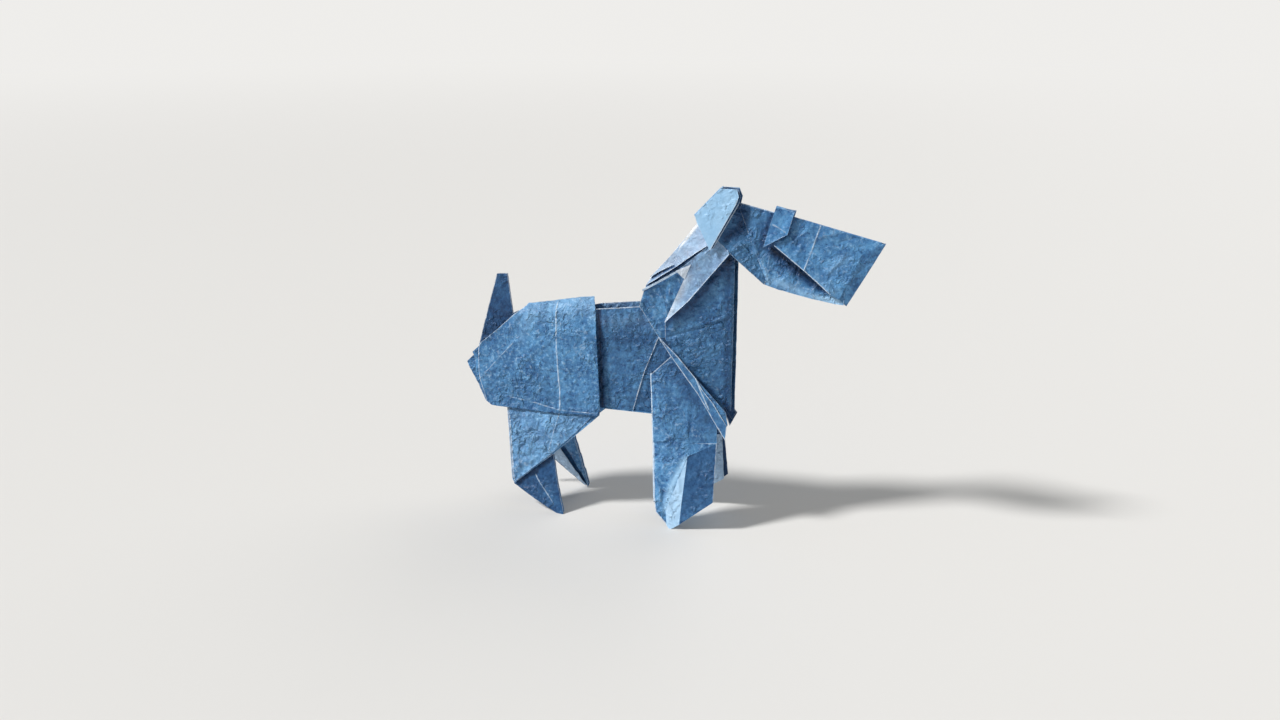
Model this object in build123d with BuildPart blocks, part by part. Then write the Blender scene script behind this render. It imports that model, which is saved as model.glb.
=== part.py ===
from build123d import *
from math import atan, cos, degrees, radians, sin, tan
import os

os.makedirs("parts", exist_ok=True)

# The dog faces +X, its near side is -Y, and its feet stand on z = 0.
# Outlines are side views: (x, z) points in millimetres, carried along Y onto the panel's plane.

# Paper and layers
paper = 0.35  # one pressed layer of the folded sheet
bite = 0.10  # depth to which two pressed layers sink into each other
step = paper - bite  # rise from one pressed layer to the next
lap = 0.40  # length a panel runs on past a valley fold
pocket = 0.90  # rise from a folded-in flap to the panel that covers it

# Rump sleeve, pinched together at its rear end
sleeve_front_x = -14.5
sleeve_rear_x = -48.0
sleeve_front_half = 4.0
sleeve_rear_half = 2.4
sleeve_front_ridge = 56.3
sleeve_rear_ridge = 51.2
arch_rise = 3.2
arch_facets = 4
sleeve_front_top = (-15.6, 53.1)
sleeve_ridge_x = -17.1
sleeve_margin = 1.0  # length by which the uncut sleeve runs past its two ends
sleeve_low_z = 20.0  # foot of the uncut section
sleeve_side = [
    (-12.0, 28.0), (-14.5, 28.0), (-15.1, 26.2), (-26.1, 25.6), (-44.6, 25.5), (-46.1, 26.4), (-48.0, 32.0),
    (-48.2, 40.1), (-47.7, 41.8), (-43.0, 45.6), (-33.5, 54.3), (-33.5, 58.0), (-12.0, 58.0),
]

# Open trough of the body between sleeve and shoulder
back_half = 3.0
back_z = 54.0
wall_lean = -2.0
wall_outer = [
    (-36.0, 42.0), (-16.0, 27.4), (-6.4, 27.6), (0.5, 47.8), (4.6, 48.2), (4.6, 54.0),
    (-4.0, 55.2), (-16.0, 53.6), (-31.0, 49.6), (-36.0, 48.6),
]
wall_inner = [(-9.0, 27.3), (-1.4, 27.1), (6.0, 27.3), (6.0, 46.0), (4.0, 50.0), (-4.0, 50.0)]
belly_line = [(-16.0, 27.55), (6.0, 27.35)]
back_hem = [(-16.0, 53.1), (-4.5, 54.6), (-4.5, 55.1), (-16.0, 53.6)]

# Hind legs, hanging outward under the sleeve
thigh_half = 3.85
leg_spread = 14.2
rump_taper = -2.8
thigh_x = -14.5
thigh_z = 26.3
thigh_side = [
    (-40.4, 29.0), (-40.1, 25.9), (-37.3, 7.6), (-36.9, 6.6), (-26.8, 15.4), (-20.6, 21.4),
    (-16.9, 25.4), (-15.2, 26.4), (-15.4, 28.6), (-18.0, 29.0),
]
thigh_lining = [
    (-40.9, 29.0), (-40.6, 25.9), (-37.7, 7.2), (-37.0, 6.2), (-26.4, 15.2), (-20.0, 21.2),
    (-14.8, 26.0), (-14.8, 28.6), (-18.0, 28.8),
]
thigh_rear = [(-40.4, 27.2), (-37.5, 7.6)]
near_foot = [
    (-40.8, 27.2), (-37.4, 5.8), (-30.9, 2.5), (-24.9, -0.2), (-22.9, -0.3), (-25.2, 7.2),
    (-27.1, 14.9), (-28.2, 19.0), (-31.0, 27.2),
]
near_rear_flap = [(-37.0, 6.2), (-30.8, 2.8), (-24.8, 0.1), (-24.4, 0.8), (-31.5, 11.0)]
near_front_flap = [(-23.3, -0.2), (-24.1, 1.0), (-30.2, 12.0), (-28.6, 19.0), (-27.5, 14.9), (-25.6, 7.2)]
far_foot = [
    (-41.3, 27.2), (-38.0, 15.2), (-31.0, 8.3), (-23.3, 0.4), (-22.7, -0.2), (-22.1, 1.2),
    (-24.7, 16.8), (-26.0, 27.2),
]
far_rear_flap = [(-38.0, 15.4), (-30.9, 8.6), (-23.2, 0.7), (-23.0, 1.0), (-29.2, 12.4)]
far_front_flap = [(-22.5, -0.2), (-22.6, 2.1), (-27.8, 13.6), (-26.4, 22.0), (-25.0, 16.8), (-22.4, 1.2)]

# Front legs, bent outward at the knee fold
leg_half = 3.1
leg_z = 44.0
leg_lean = 3.0
knee_rear = (-0.5, 20.4)
knee_front = (15.8, 22.1)
leg_upper = [(-1.4, 38.2), (3.4, 43.0), (4.3, 44.2), (10.2, 37.0), (15.7, 30.5), knee_front]
toe = (5.4, -0.3)
toe_half = 9.0
facet_top = (8.7, 18.2)
facet_low = (3.9, 4.3)
facet_heel = (4.4, 0.7)
facet_front = (7.8, 1.4)
facet_lift = 0.7
shin_rear = [(0.8, 5.5), (1.3, 3.5)]
near_shin_front = (16.0, 7.9)
far_shin_front = (16.3, 9.3)
leg_flap = [(-0.5, 20.4), (-1.4, 38.2), (3.4, 43.0), (12.0, 33.0), (14.6, 28.0), (14.6, 21.6)]
shin_flap = [(-0.5, 20.4), (0.8, 5.5), (14.6, 8.2), (14.6, 21.6)]

# Pleats that run from the shoulder down across the top of the front leg
pleat_half = 3.9
pleat_z = 48.0
pleat_lean = 2.45
pleat_outer = [
    (0.7, 48.0), (3.8, 43.7), (11.0, 34.5), (15.8, 26.9), (18.0, 23.6), (18.3, 27.3), (14.9, 32.5),
    (12.1, 35.7), (10.5, 38.4), (5.9, 43.4),
]
pleat_inner = [(4.0, 45.0), (13.0, 33.0), (17.6, 25.6), (18.5, 27.4), (17.9, 30.6), (10.4, 38.3)]
far_tuft = [(16.4, 26.6), (17.5, 23.4), (18.9, 27.1), (17.8, 27.7)]
pleat_fold = [(1.0, 47.6), (10.2, 37.9)]

# Chest walls, drawing together to an open slit at the front
chest_half = 3.8
chest_x = 0.7
chest_turn = 7.4
curl_x = 17.3
near_chest_front = (18.5, -0.9)  # (x, y) of the curled front edge in plan
far_chest_front = (18.9, -1.3)
curl_bow = (0.22, -0.18)  # how far the curl swells beyond the straight line to its tip, in plan
curl_inside = 0.7  # share of the layer's thickness that the inner face of the curl is set back
chest_side = [
    (2.3, 47.9), (5.9, 43.0), (10.3, 37.9), (19.5, 28.9), (19.5, 71.0), (15.0, 70.0), (7.0, 60.0),
    (2.2, 52.8),
]
shoulder_half = 3.6
shoulder_side = [
    (-2.9, 59.9), (-4.1, 55.6), (0.7, 47.9), (2.4, 47.9), (6.0, 44.6), (8.0, 50.0), (8.0, 62.0),
    (6.8, 63.1), (5.3, 65.0), (0.6, 62.2),
]
shoulder_root = [(0.8, 49.6), (4.2, 53.4)]

# Neck, hanging on both sides of the nape crest
nape_x = 8.9
nape_z = 75.7
nape_fall = -51.8
neck_spread = 23.5
crest_half = 0.25
neck_side = [
    (-3.3, 60.2), (-2.3, 62.2), (2.9, 68.0), (8.9, 75.7), (13.0, 80.9), (12.6, 70.2), (6.6, 64.0),
    (4.0, 58.8), (1.6, 56.4), (-2.4, 55.8), (-3.8, 58.9),
]
neck_top = [
    (-2.1, 62.2), (2.9, 68.0), (8.9, 75.7), (13.0, 80.9), (12.6, 71.4), (11.8, 70.8), (4.8, 65.2),
    (3.8, 65.9),
]
strip_half = 3.8
strip_x = 2.3
strip_turn = 6.5
neck_strip = [
    (2.3, 52.2), (6.9, 63.2), (5.4, 65.0), (11.9, 70.8), (16.1, 73.0), (17.4, 69.5), (8.1, 57.9),
]

# Head, with the muzzle wrapped around it and the brow saddle on top
crown_x = 19.7
crown_z = 81.1
head_fall = 12.5
cheek_spread = 3.5
cheek_crease = [(18.7, 81.3), (21.8, 73.6), (26.1, 63.6)]
cheek_front = [(25.7, 62.5), (29.2, 61.5), (36.6, 60.0), (42.3, 59.0), (44.4, 58.5), (44.6, 75.5)]
jaw_corner = (18.8, 68.5)
jaw_half = 2.43
cheek_rear = [(25.7, 62.5), (18.8, 68.5), (13.4, 73.7), (12.6, 76.5), (14.6, 81.0)]
muzzle_spread = 3.0
muzzle_top = (27.4, 79.7)
nose = (53.1, 73.6)
muzzle_edge = [(41.3, 61.4), (35.0, 66.5), (27.8, 71.9)]
nose_bend = [(52.2, 73.8), (46.9, 68.8), (43.8, 60.4)]
chin = (45.1, 58.6)
nose_mid = (49.2, 66.2)
nose_edge_half = 0.3
brow_rise = 1.6
brow_half = 0.6
brow_spread = 4.8
brow_side = [(27.8, 80.9), (32.2, 79.9), (30.8, 74.7), (25.3, 71.5), (26.7, 77.1)]
brow_fold = [(27.9, 80.7), (32.0, 79.75)]

# Ears, leaning over the back of the head
ear_half = 1.5
ear_z = 84.8
ear_lean = 10.3
ear_gap = 0.70
ear_side = [
    (9.0, 78.2), (14.9, 84.6), (18.7, 84.6), (19.2, 82.9), (18.7, 81.3), (13.1, 70.4), (11.4, 73.4),
    (9.6, 76.6),
]
ear_lining = [(9.0, 78.2), (14.9, 84.6), (18.9, 84.5), (19.5, 82.7), (19.1, 80.9), (13.6, 70.6)]
ear_fold = [(9.2, 78.2), (14.9, 84.3)]
ear_top = [(14.7, 84.3), (18.8, 84.3)]
poll_side = [(9.5, 75.5), (15.0, 84.3), (17.4, 84.3), (17.4, 81.9), (19.6, 80.9), (18.5, 76.0), (14.0, 73.0)]
poll_half = 0.35

# Tail and the folded layers at the rump
tail_half = 0.30
tail_side = [
    (-29.5, 49.0), (-38.0, 44.0), (-44.0, 32.0), (-48.0, 38.0), (-48.9, 40.7), (-43.0, 60.0),
    (-40.2, 60.2), (-39.0, 50.0), (-36.5, 51.2),
]
tail_root = (-33.0, -29.5)  # length of the ridge that the tail's root is folded into
rump_near = [
    (-50.6, 38.7), (-50.2, 37.9), (-49.3, 31.2), (-47.1, 25.8), (-44.0, 27.5), (-44.0, 38.0),
    (-47.5, 41.6),
]
rump_far = [
    (-52.8, 35.6), (-51.2, 37.2), (-50.6, 37.6), (-44.0, 38.5), (-44.0, 27.0), (-47.7, 25.3),
    (-49.9, 30.3),
]


def near_side(half, lean=0.0, turn=0.0, x=0.0, z=0.0):
    """Plane of a near-side panel through (x, -half, z), its foot swung out by lean, its front swung in by turn."""
    rise = tan(radians(lean))
    swing = tan(radians(turn))
    return Plane(origin=(x, -half, z), x_dir=(1, swing, 0), z_dir=(swing, -1, rise))


def hanging(x, z, fall, spread, half):
    """Plane of a panel that hangs from a crest falling forward by fall, opened sideways by spread."""
    lean = degrees(atan(tan(radians(spread)) * cos(radians(fall))))
    turn = degrees(atan(tan(radians(lean)) * tan(radians(fall))))
    return near_side(half, lean, turn, x, z)


def y_on(plane, point):
    """Y of a side-view point once it is carried onto a plane."""
    along = plane.z_dir.X * (point[0] - plane.origin.X) + plane.z_dir.Z * (point[1] - plane.origin.Z)
    return plane.origin.Y - along / plane.z_dir.Y


def on_plane(plane, point):
    return Vector(point[0], y_on(plane, point), point[1])


def facet(first, second, third):
    """Plane through three points in space, facing the near side."""
    across = (second - first).cross(third - first)
    if across.Y > 0:
        across = across * -1
    return Plane(origin=first, x_dir=second - first, z_dir=across)


def toward(start, end, distance=lap):
    """Side-view point a short distance from start toward end."""
    step_to = (Vector(end) - Vector(start)).normalized() * distance
    return (start[0] + step_to.X, start[1] + step_to.Y)


def layer(plane, outline, depth=paper):
    """One layer of paper: its outer face lies on the plane, its thickness goes inward."""
    corners = [plane.to_local_coords(on_plane(plane, point)) for point in outline]
    with BuildSketch(plane) as flat:
        with BuildLine():
            Polyline(*[(corner.X, corner.Y) for corner in corners], close=True)
        make_face()
    extrude(flat.sketch, amount=-depth)


def fold(plane, line, inner, past=paper):
    """Folded edge along a line, from one panel inward to the panel below it."""
    start, end = [plane.to_local_coords(on_plane(plane, point)) for point in line]
    reach = max(y_on(inner, point) - y_on(plane, point) for point in line)
    with BuildSketch(plane) as edge:
        with BuildLine() as run:
            Line((start.X, start.Y), (end.X, end.Y))
        trace(run.line, line_width=paper)
    extrude(edge.sketch, amount=reach + past, dir=(0, 1, 0))


def inward(plane, distance):
    """Plane moved toward the dog's middle."""
    return plane.offset(-distance)


middle = near_side(0.0)
wall = near_side(back_half, wall_lean, 0.0, 0.0, back_z)
thigh_plane = near_side(thigh_half, leg_spread, rump_taper, thigh_x, thigh_z)
foot_plane = inward(thigh_plane, pocket)
upper_leg = near_side(leg_half, leg_lean, 0.0, 0.0, leg_z)
pleat_plane = near_side(pleat_half, pleat_lean, 0.0, 0.0, pleat_z)
chest_plane = near_side(chest_half, 0.0, chest_turn, chest_x, 0.0)
shoulder_plane = near_side(shoulder_half, 0.0, chest_turn, chest_x, 0.0)
strip_plane = near_side(strip_half, 0.0, strip_turn, strip_x, 0.0)
neck_plane = hanging(nape_x, nape_z, nape_fall, neck_spread, crest_half)
cheek_plane = hanging(crown_x, crown_z, head_fall, cheek_spread, crest_half)
muzzle_plane = hanging(crown_x, crown_z, head_fall, muzzle_spread, crest_half + step)
brow_plane = hanging(crown_x, crown_z + brow_rise, head_fall, brow_spread, brow_half)
ear_plane = near_side(ear_half, ear_lean, 0.0, 0.0, ear_z)


def body_wall():
    layer(wall, wall_outer)
    layer(inward(wall, step), wall_inner)
    layer(inward(wall, step), back_hem)
    fold(inward(wall, step), belly_line, middle)


def hind_foot(outline, rear_flap, front_flap):
    """Foot folded as a channel: an outer panel with a flap turned in along each lower edge."""
    flap_plane = inward(foot_plane, pocket)
    layer(foot_plane, outline)
    layer(flap_plane, rear_flap)
    layer(flap_plane, front_flap)
    for start, end in zip(rear_flap[:2], rear_flap[1:3]):
        fold(foot_plane, [start, end], flap_plane)
    fold(foot_plane, [front_flap[-1], front_flap[0]], flap_plane)


def front_leg(shin_front):
    knee = [on_plane(upper_leg, point) for point in (knee_rear, knee_front)]
    toe_point = Vector(toe[0], -toe_half, toe[1])
    shin_plane = facet(knee[0], knee[1], toe_point)
    ridge = on_plane(shin_plane, facet_front) - Vector(0, facet_lift, 0)
    top = on_plane(shin_plane, facet_top)
    bright_plane = facet(top, on_plane(shin_plane, facet_low), ridge)
    front_plane = facet(knee[1], top, ridge)
    flap_plane = inward(upper_leg, pocket)
    shin_flap_plane = inward(shin_plane, pocket)
    under_knee = [toward(knee_front, shin_front), toward(knee_rear, shin_rear[0])]
    under_facet = [toward(point, facet_front) for point in (facet_top, facet_low, facet_heel)]
    layer(upper_leg, leg_upper + under_knee)
    layer(shin_plane, [knee_rear, knee_front, under_knee[0]] + under_facet + [facet_heel] + shin_rear[::-1])
    layer(bright_plane, [facet_top, facet_low, facet_heel, toe, facet_front])
    layer(front_plane, [facet_top, facet_front, shin_front, knee_front])
    layer(flap_plane, leg_flap)
    layer(shin_flap_plane, shin_flap)
    fold(upper_leg, leg_upper[:2], wall)
    fold(upper_leg, [knee_rear, leg_upper[0]], flap_plane)
    fold(shin_plane, [knee_rear, shin_rear[0]], shin_flap_plane)


def pleats():
    layer(pleat_plane, pleat_outer)
    layer(inward(pleat_plane, step), pleat_inner)
    fold(pleat_plane, pleat_fold, chest_plane)


def chest_wall(front):
    """Flat wall that curls in toward the middle at the front edge, then its side outline cut from it."""
    bend = Vector(curl_x, y_on(chest_plane, (curl_x, 0)))
    start = Vector(chest_x, y_on(chest_plane, (chest_x, 0)))
    tip = Vector(front)
    bow = (bend + tip) * 0.5 + Vector(curl_bow)
    rise = Vector(0, paper)
    back = Vector(-paper, 0)
    with BuildSketch(Plane.XY) as plan:
        with BuildLine():
            Line(start, bend)
            ThreePointArc(bend, bow, tip)
            Line(tip, tip + back)
            ThreePointArc(tip + back, bow + (rise + back) * curl_inside, bend + rise)
            Line(bend + rise, start + rise)
            Line(start + rise, start)
        make_face()
    extrude(plan.sketch, amount=nape_z)
    with BuildSketch(Plane.XZ) as side:
        with BuildLine():
            Polyline(*chest_side, close=True)
        make_face()
    extrude(side.sketch, amount=chest_half * 2, mode=Mode.INTERSECT)


def shoulder_and_neck():
    layer(shoulder_plane, shoulder_side)
    fold(shoulder_plane, shoulder_root, wall)
    layer(neck_plane, neck_side)
    layer(inward(neck_plane, -step), neck_top)
    layer(strip_plane, neck_strip)


def head():
    crease = [on_plane(cheek_plane, point) for point in cheek_crease]
    jaw_plane = facet(crease[0], crease[2], Vector(jaw_corner[0], -jaw_half, jaw_corner[1]))
    layer(cheek_plane, cheek_crease + cheek_front)
    layer(jaw_plane, cheek_crease + cheek_rear)
    bend = [on_plane(muzzle_plane, point) for point in nose_bend]
    edge = Vector(nose_mid[0], -nose_edge_half, nose_mid[1])
    layer(muzzle_plane, [muzzle_top] + nose_bend + muzzle_edge)
    under_bend = [toward(nose_bend[1], nose_bend[2]), toward(nose_mid, chin)]
    layer(facet(bend[0], bend[1], edge), nose_bend[:2] + under_bend + [nose])
    layer(facet(bend[1], bend[2], edge), nose_bend[1:] + [chin, nose_mid])


def brow():
    layer(brow_plane, brow_side)
    fold(brow_plane, brow_fold, middle)


def ear():
    lining = inward(ear_plane, ear_gap)
    layer(ear_plane, ear_side)
    layer(lining, ear_lining)
    fold(ear_plane, ear_fold, lining)
    fold(lining, ear_top, middle)


def ridge_at(x):
    """Height of the sleeve's ridge at x."""
    slope = (sleeve_front_ridge - sleeve_rear_ridge) / (sleeve_front_x - sleeve_rear_x)
    return sleeve_front_ridge + slope * (x - sleeve_front_x)


def sleeve_section(x, half, inset):
    """Arched section of the rump sleeve across the dog."""
    side = half - inset
    ridge = ridge_at(x)
    spring = ridge - arch_rise
    rise = arch_rise - inset
    turns = [radians(90 * k / arch_facets) for k in range(2 * arch_facets + 1)]
    crown = [(side * cos(a), spring + rise * sin(a)) for a in turns]
    with BuildSketch(Plane.YZ.offset(x)) as section:
        with BuildLine():
            Polyline(*crown, (-side, sleeve_low_z), (side, sleeve_low_z), close=True)
        make_face()
    return section.sketch.face()


# Rump sleeve
with BuildPart() as sleeve:
    for inset, mode in ((0.0, Mode.ADD), (paper, Mode.SUBTRACT)):
        front = sleeve_section(sleeve_front_x + sleeve_margin, sleeve_front_half, inset)
        rear = sleeve_section(sleeve_rear_x - sleeve_margin, sleeve_rear_half, inset)
        loft([front, rear], ruled=True, mode=mode)
    with BuildSketch(Plane.XZ) as side_view:
        with BuildLine():
            Polyline(*sleeve_side, close=True)
        make_face()
    extrude(side_view.sketch, amount=sleeve_front_half * 2, both=True, mode=Mode.INTERSECT)
    low = Vector(sleeve_front_x, -sleeve_front_half, sleeve_side[1][1])
    high = Vector(sleeve_front_top[0], -sleeve_front_half, sleeve_front_top[1])
    crown = Vector(sleeve_ridge_x, 0, ridge_at(sleeve_ridge_x))
    front_cut = facet(low, high, crown)
    split(bisect_by=front_cut, keep=Keep.TOP)

# Chest walls, both drawn on the near side
with BuildPart() as near_chest:
    chest_wall(near_chest_front)

with BuildPart() as far_chest:
    chest_wall(far_chest_front)

# Near half of everything that both sides share
with BuildPart() as near_half:
    body_wall()
    layer(thigh_plane, thigh_side)
    layer(inward(thigh_plane, step), thigh_lining)
    fold(thigh_plane, thigh_rear, foot_plane)
    pleats()
    shoulder_and_neck()
    head()
    brow()
    ear()

# Far legs and chest, drawn on the near side: the hind foot turns further forward, the shin and tuft differ a little
with BuildPart() as far_legs:
    hind_foot(far_foot, far_rear_flap, far_front_flap)
    front_leg(far_shin_front)
    add(far_chest.part)
    layer(pleat_plane, far_tuft)

# The whole folded sheet
with BuildPart() as folded_paper_dog:
    add(near_half.part)
    mirror(about=Plane.XZ)
    add(sleeve.part)
    hind_foot(near_foot, near_rear_flap, near_front_flap)
    front_leg(near_shin_front)
    add(near_chest.part)
    mirror(far_legs.part, about=Plane.XZ)
    layer(near_side(tail_half), tail_side + [(x, ridge_at(x) - paper / 2) for x in tail_root], tail_half * 2)
    layer(near_side(tail_half + step + step), rump_near, paper + step)
    layer(near_side(bite - tail_half), rump_far, paper + step)
    layer(near_side(poll_half), poll_side, poll_half * 2)
    split(bisect_by=Plane.XY, keep=Keep.TOP)

folded_paper_dog.part.label = "folded_paper_dog"
export_step(folded_paper_dog.part, "parts/folded_paper_dog.step")
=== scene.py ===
"""Folded paper dog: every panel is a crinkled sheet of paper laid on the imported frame."""

from math import cos, pi, radians, tan

import bmesh
import bpy
import numpy as np
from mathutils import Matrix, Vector


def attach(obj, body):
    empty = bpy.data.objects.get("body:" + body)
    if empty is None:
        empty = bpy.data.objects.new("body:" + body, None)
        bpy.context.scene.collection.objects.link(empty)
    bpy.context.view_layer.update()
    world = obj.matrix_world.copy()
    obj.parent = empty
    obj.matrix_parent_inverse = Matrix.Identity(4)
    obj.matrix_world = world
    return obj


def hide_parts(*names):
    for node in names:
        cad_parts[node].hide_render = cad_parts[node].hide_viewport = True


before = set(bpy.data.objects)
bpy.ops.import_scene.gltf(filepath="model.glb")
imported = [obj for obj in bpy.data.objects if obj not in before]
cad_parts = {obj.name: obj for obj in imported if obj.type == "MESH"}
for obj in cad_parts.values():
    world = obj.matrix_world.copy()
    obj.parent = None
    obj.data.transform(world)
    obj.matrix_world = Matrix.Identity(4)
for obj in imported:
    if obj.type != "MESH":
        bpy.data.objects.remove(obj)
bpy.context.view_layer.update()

# The dog faces +X and its near side is -Y. Panels are worked out in millimetres.
MM = 0.001
PLY = 0.22  # seen thickness of the paper
GRID = 0.30  # spacing of the points on a panel
HEM_GRID = 0.5  # spacing of the points along a hem or a crest
HEM_TURNS, CREST_TURNS = 11, 13  # points round a hem and round a crest
CREST_SHRINK, CREST_SINK = 0.55, 0.1  # size of a crest's inner skin, and how far a skin shrunk to nothing sinks
RIM_ROWS = (0.12, 0.28)  # two close rows beside each border, for its wear
STEP = 0.25  # rise from one pressed layer to the next
POCKET = 0.90  # rise from a folded-in flap to the panel that covers it
LEAST_BULGE = 0.04  # how far a hem that is pressed flat stands out
NEAR, FAR = -1, 1
BOTH = (NEAR, FAR)
FAR_OFF = 9.0  # a distance that stands for no edge or fold nearby
# The tint mark is the dye's depth together with painted shade and painted light; the chalk mark is bare white together
# with painted highlights.
MARKS = ("edge_mm", "crease_mm", "dye_and_shading", "white_and_highlight", "crush")  # what each point tells the paper finish

# Height and width of the bell-shaped lines on a panel
CREASE_BELL, RIDGE_BELL, VALLEY_BELL = (0.05, 0.35), (0.20, 0.5), (-0.16, 0.32)
RIDGE_FAINT = 0.17  # distance added on a ridge, so that it is less worn than a crease

sheets = {}  # the closed sheets of each piece, in the order in which they are laid


# ---- Paper relief -------------------------------------------------------------------------

LATTICE = 64  # squares along a random field before it repeats
LATTICE_START = (31.7, 17.3)  # where the dog's origin lies on that lattice
FAR_SHIFT = (140.0, 60.0)  # the far side reads the same fields elsewhere
BEND, BEND_CELL = 1.4, 5.0  # how far the wrinkles wander and over what length
SWELL_HEIGHT, SWELL_CELL = 0.36, 10.0
WRINKLE_HEIGHT, WRINKLE_CELL = 0.44, 4.4
CREASE_HEIGHT, CREASE_CELL, CREASE_STRETCH = 0.27, 2.3, 0.7
DIMPLE_HEIGHT, DIMPLE_CELL, DIMPLE_START = 0.26, 1.7, 0.10
SHARP_TOP = 0.25  # what the size of a field is taken from, to make its zero lines sharp
CRUMPLE_CELL, CRUMPLE_MEAN, CRUMPLE_SPAN, CRUMPLE_RANGE = 8.0, 0.8, 1.8, (0.25, 1.7)


def swell(a, b, size, seed):
    """Smooth random field on a square lattice: at each corner a random slope times the way from that corner, and
    between four corners a blend whose share goes as ten cubes less fifteen fourth plus six fifth powers."""
    angle = np.random.default_rng(seed).random((LATTICE, LATTICE)) * 2 * pi
    slope_a, slope_b = np.cos(angle), np.sin(angle)
    p, q = a / size + LATTICE_START[0], b / size + LATTICE_START[1]
    i, j = np.floor(p).astype(int), np.floor(q).astype(int)
    s, t = p - i, q - j

    def corner(di, dj):
        """The slope at one corner of a point's square times the way from that corner."""
        m, n = (i + di) % LATTICE, (j + dj) % LATTICE
        return slope_a[m, n] * (s - di) + slope_b[m, n] * (t - dj)

    ease_s = s**3 * (s * (s * 6 - 15) + 10)
    ease_t = t**3 * (t * (t * 6 - 15) + 10)
    low = corner(0, 0) * (1 - ease_s) + corner(1, 0) * ease_s
    high = corner(0, 1) * (1 - ease_s) + corner(1, 1) * ease_s
    return low * (1 - ease_t) + high * ease_t


def crinkle(a, b, side=NEAR):
    """Height of the paper in mm: a slow swell, plus wrinkles, creases and dimples times how crumpled the place is.
    Wrinkles and creases are a quarter less the size of a field read at wandering places, which makes its zero
    lines sharp. Dimples are what a fine field has above a small height."""
    a, b = a + FAR_SHIFT[0] * (side == FAR), b + FAR_SHIFT[1] * (side == FAR)
    bend_a = a + BEND * swell(a, b, BEND_CELL, 11)
    bend_b = b + BEND * swell(a, b, BEND_CELL, 12)
    crumpled = np.clip(CRUMPLE_MEAN + CRUMPLE_SPAN * swell(a, b, CRUMPLE_CELL, 7), *CRUMPLE_RANGE)
    slow = SWELL_HEIGHT * swell(a, b, SWELL_CELL, 1)
    wrinkle = WRINKLE_HEIGHT * (SHARP_TOP - np.abs(swell(bend_a, bend_b, WRINKLE_CELL, 2)))
    crease = CREASE_HEIGHT * (SHARP_TOP - np.abs(swell(bend_b, bend_a * CREASE_STRETCH, CREASE_CELL, 3)))
    dimple = DIMPLE_HEIGHT * np.maximum(swell(a, b, DIMPLE_CELL, 4) - DIMPLE_START, 0)
    return slow + crumpled * (wrinkle + crease + dimple)


def bell(distance, height, width):
    """The height times e to the power of minus the square of distance over width."""
    return height * np.exp(-((distance / width) ** 2))


# ---- Planes that the panels lie on ----------------------------------------------------------
# A plane is three numbers: y at the origin, the slope of y along x and the slope of y along z.


def near_side(half, lean=0.0, turn=0.0, x=0.0, z=0.0):
    """Panel plane y = -half at (x, z), further out below z by the lean and further in before x by the turn. Its
    slopes are the tangents of the two angles."""
    rise, swing = tan(radians(lean)), tan(radians(turn))
    return np.array([-half - swing * x - rise * z, swing, rise])


def hanging(x, z, fall, spread, half):
    """Panel plane that hangs from a crest falling forward by fall, opened sideways by spread. The slope along z is
    the spread's tangent times the fall's cosine, and along x that times the fall's tangent."""
    rise = tan(radians(spread)) * cos(radians(fall))
    swing = rise * tan(radians(fall))
    return np.array([-half - swing * x - rise * z, swing, rise])


def inward(plane, distance):
    """The plane moved square to itself toward the dog's middle: y grows by the distance times the root of one plus
    both slopes squared."""
    return plane + np.array([distance * np.sqrt(1 + plane[1] ** 2 + plane[2] ** 2), 0, 0])


def y_on(plane, x, z):
    """Y of a plane at a side-view point: its first number plus x and z times its slopes."""
    return plane[0] + plane[1] * x + plane[2] * z


def facet(*points):
    """Plane through three points in space: the three numbers that give each point's y from its x and z."""
    rows = np.array([[1.0, x, z] for x, _, z in points])
    return np.linalg.solve(rows, np.array([y for _, y, _ in points]))


def at(plane, point, out=0.0):
    """A side-view point on a plane, moved out from the middle by out."""
    return (point[0], y_on(plane, *point) - out, point[1])


# ---- Grids ----------------------------------------------------------------------------------


def shares(line):
    """Where a bent line's corners lie, as the running sum of its runs over its length, and that length."""
    line = np.asarray(line, float)
    runs = np.hypot(*np.diff(line, axis=0).T)
    return np.concatenate([[0], np.cumsum(runs)]) / max(runs.sum(), 1e-9), runs.sum()


def along(line, stops):
    """Points of a bent line at the given shares of its length, straight between its corners."""
    line = np.asarray(line, float)
    where, _ = shares(line)
    return np.stack([np.interp(stops, where, line[:, k]) for k in range(line.shape[1])], axis=-1)


def stops_for(first, second, spacing):
    """Even shares for two facing lines, with both lines' corners and the close rim rows beside each end. Even
    shares within 0.3 of the spacing of one of those are left out."""
    (one, long_one), (two, long_two) = shares(first), shares(second)
    length = max(long_one, long_two, spacing)
    even = np.linspace(0, 1, max(int(length / spacing), 3) + 1)
    rim = np.array(RIM_ROWS) / length
    rim = rim[rim < 0.3]
    fixed = np.unique(np.round(np.concatenate([one, two, [0, 1], rim, 1 - rim]), 6))
    gap = 0.3 * spacing / length
    free = even[np.min(np.abs(even[:, None] - fixed[None, :]), axis=1) > gap]
    return np.sort(np.concatenate([fixed, free]))


def patch(bottom, top, left=None, right=None, spacing=GRID):
    """Flat grid between four bent lines: the two ruled surfaces of facing lines added, less the corner blend."""
    left = left or [bottom[0], top[0]]
    right = right or [bottom[-1], top[-1]]
    u, v = stops_for(bottom, top, spacing), stops_for(left, right, spacing)
    low, high, start, end = along(bottom, u), along(top, u), along(left, v), along(right, v)
    share_u, share_v = u[None, :, None], v[:, None, None]
    ruled = (1 - share_v) * low[None] + share_v * high[None]
    ruled = ruled + (1 - share_u) * start[:, None] + share_u * end[:, None]
    blend = (1 - share_u) * ((1 - share_v) * low[0] + share_v * high[0])
    blend = blend + share_u * ((1 - share_v) * low[-1] + share_v * high[-1])
    return ruled - blend, [bottom, top, left, right]


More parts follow.
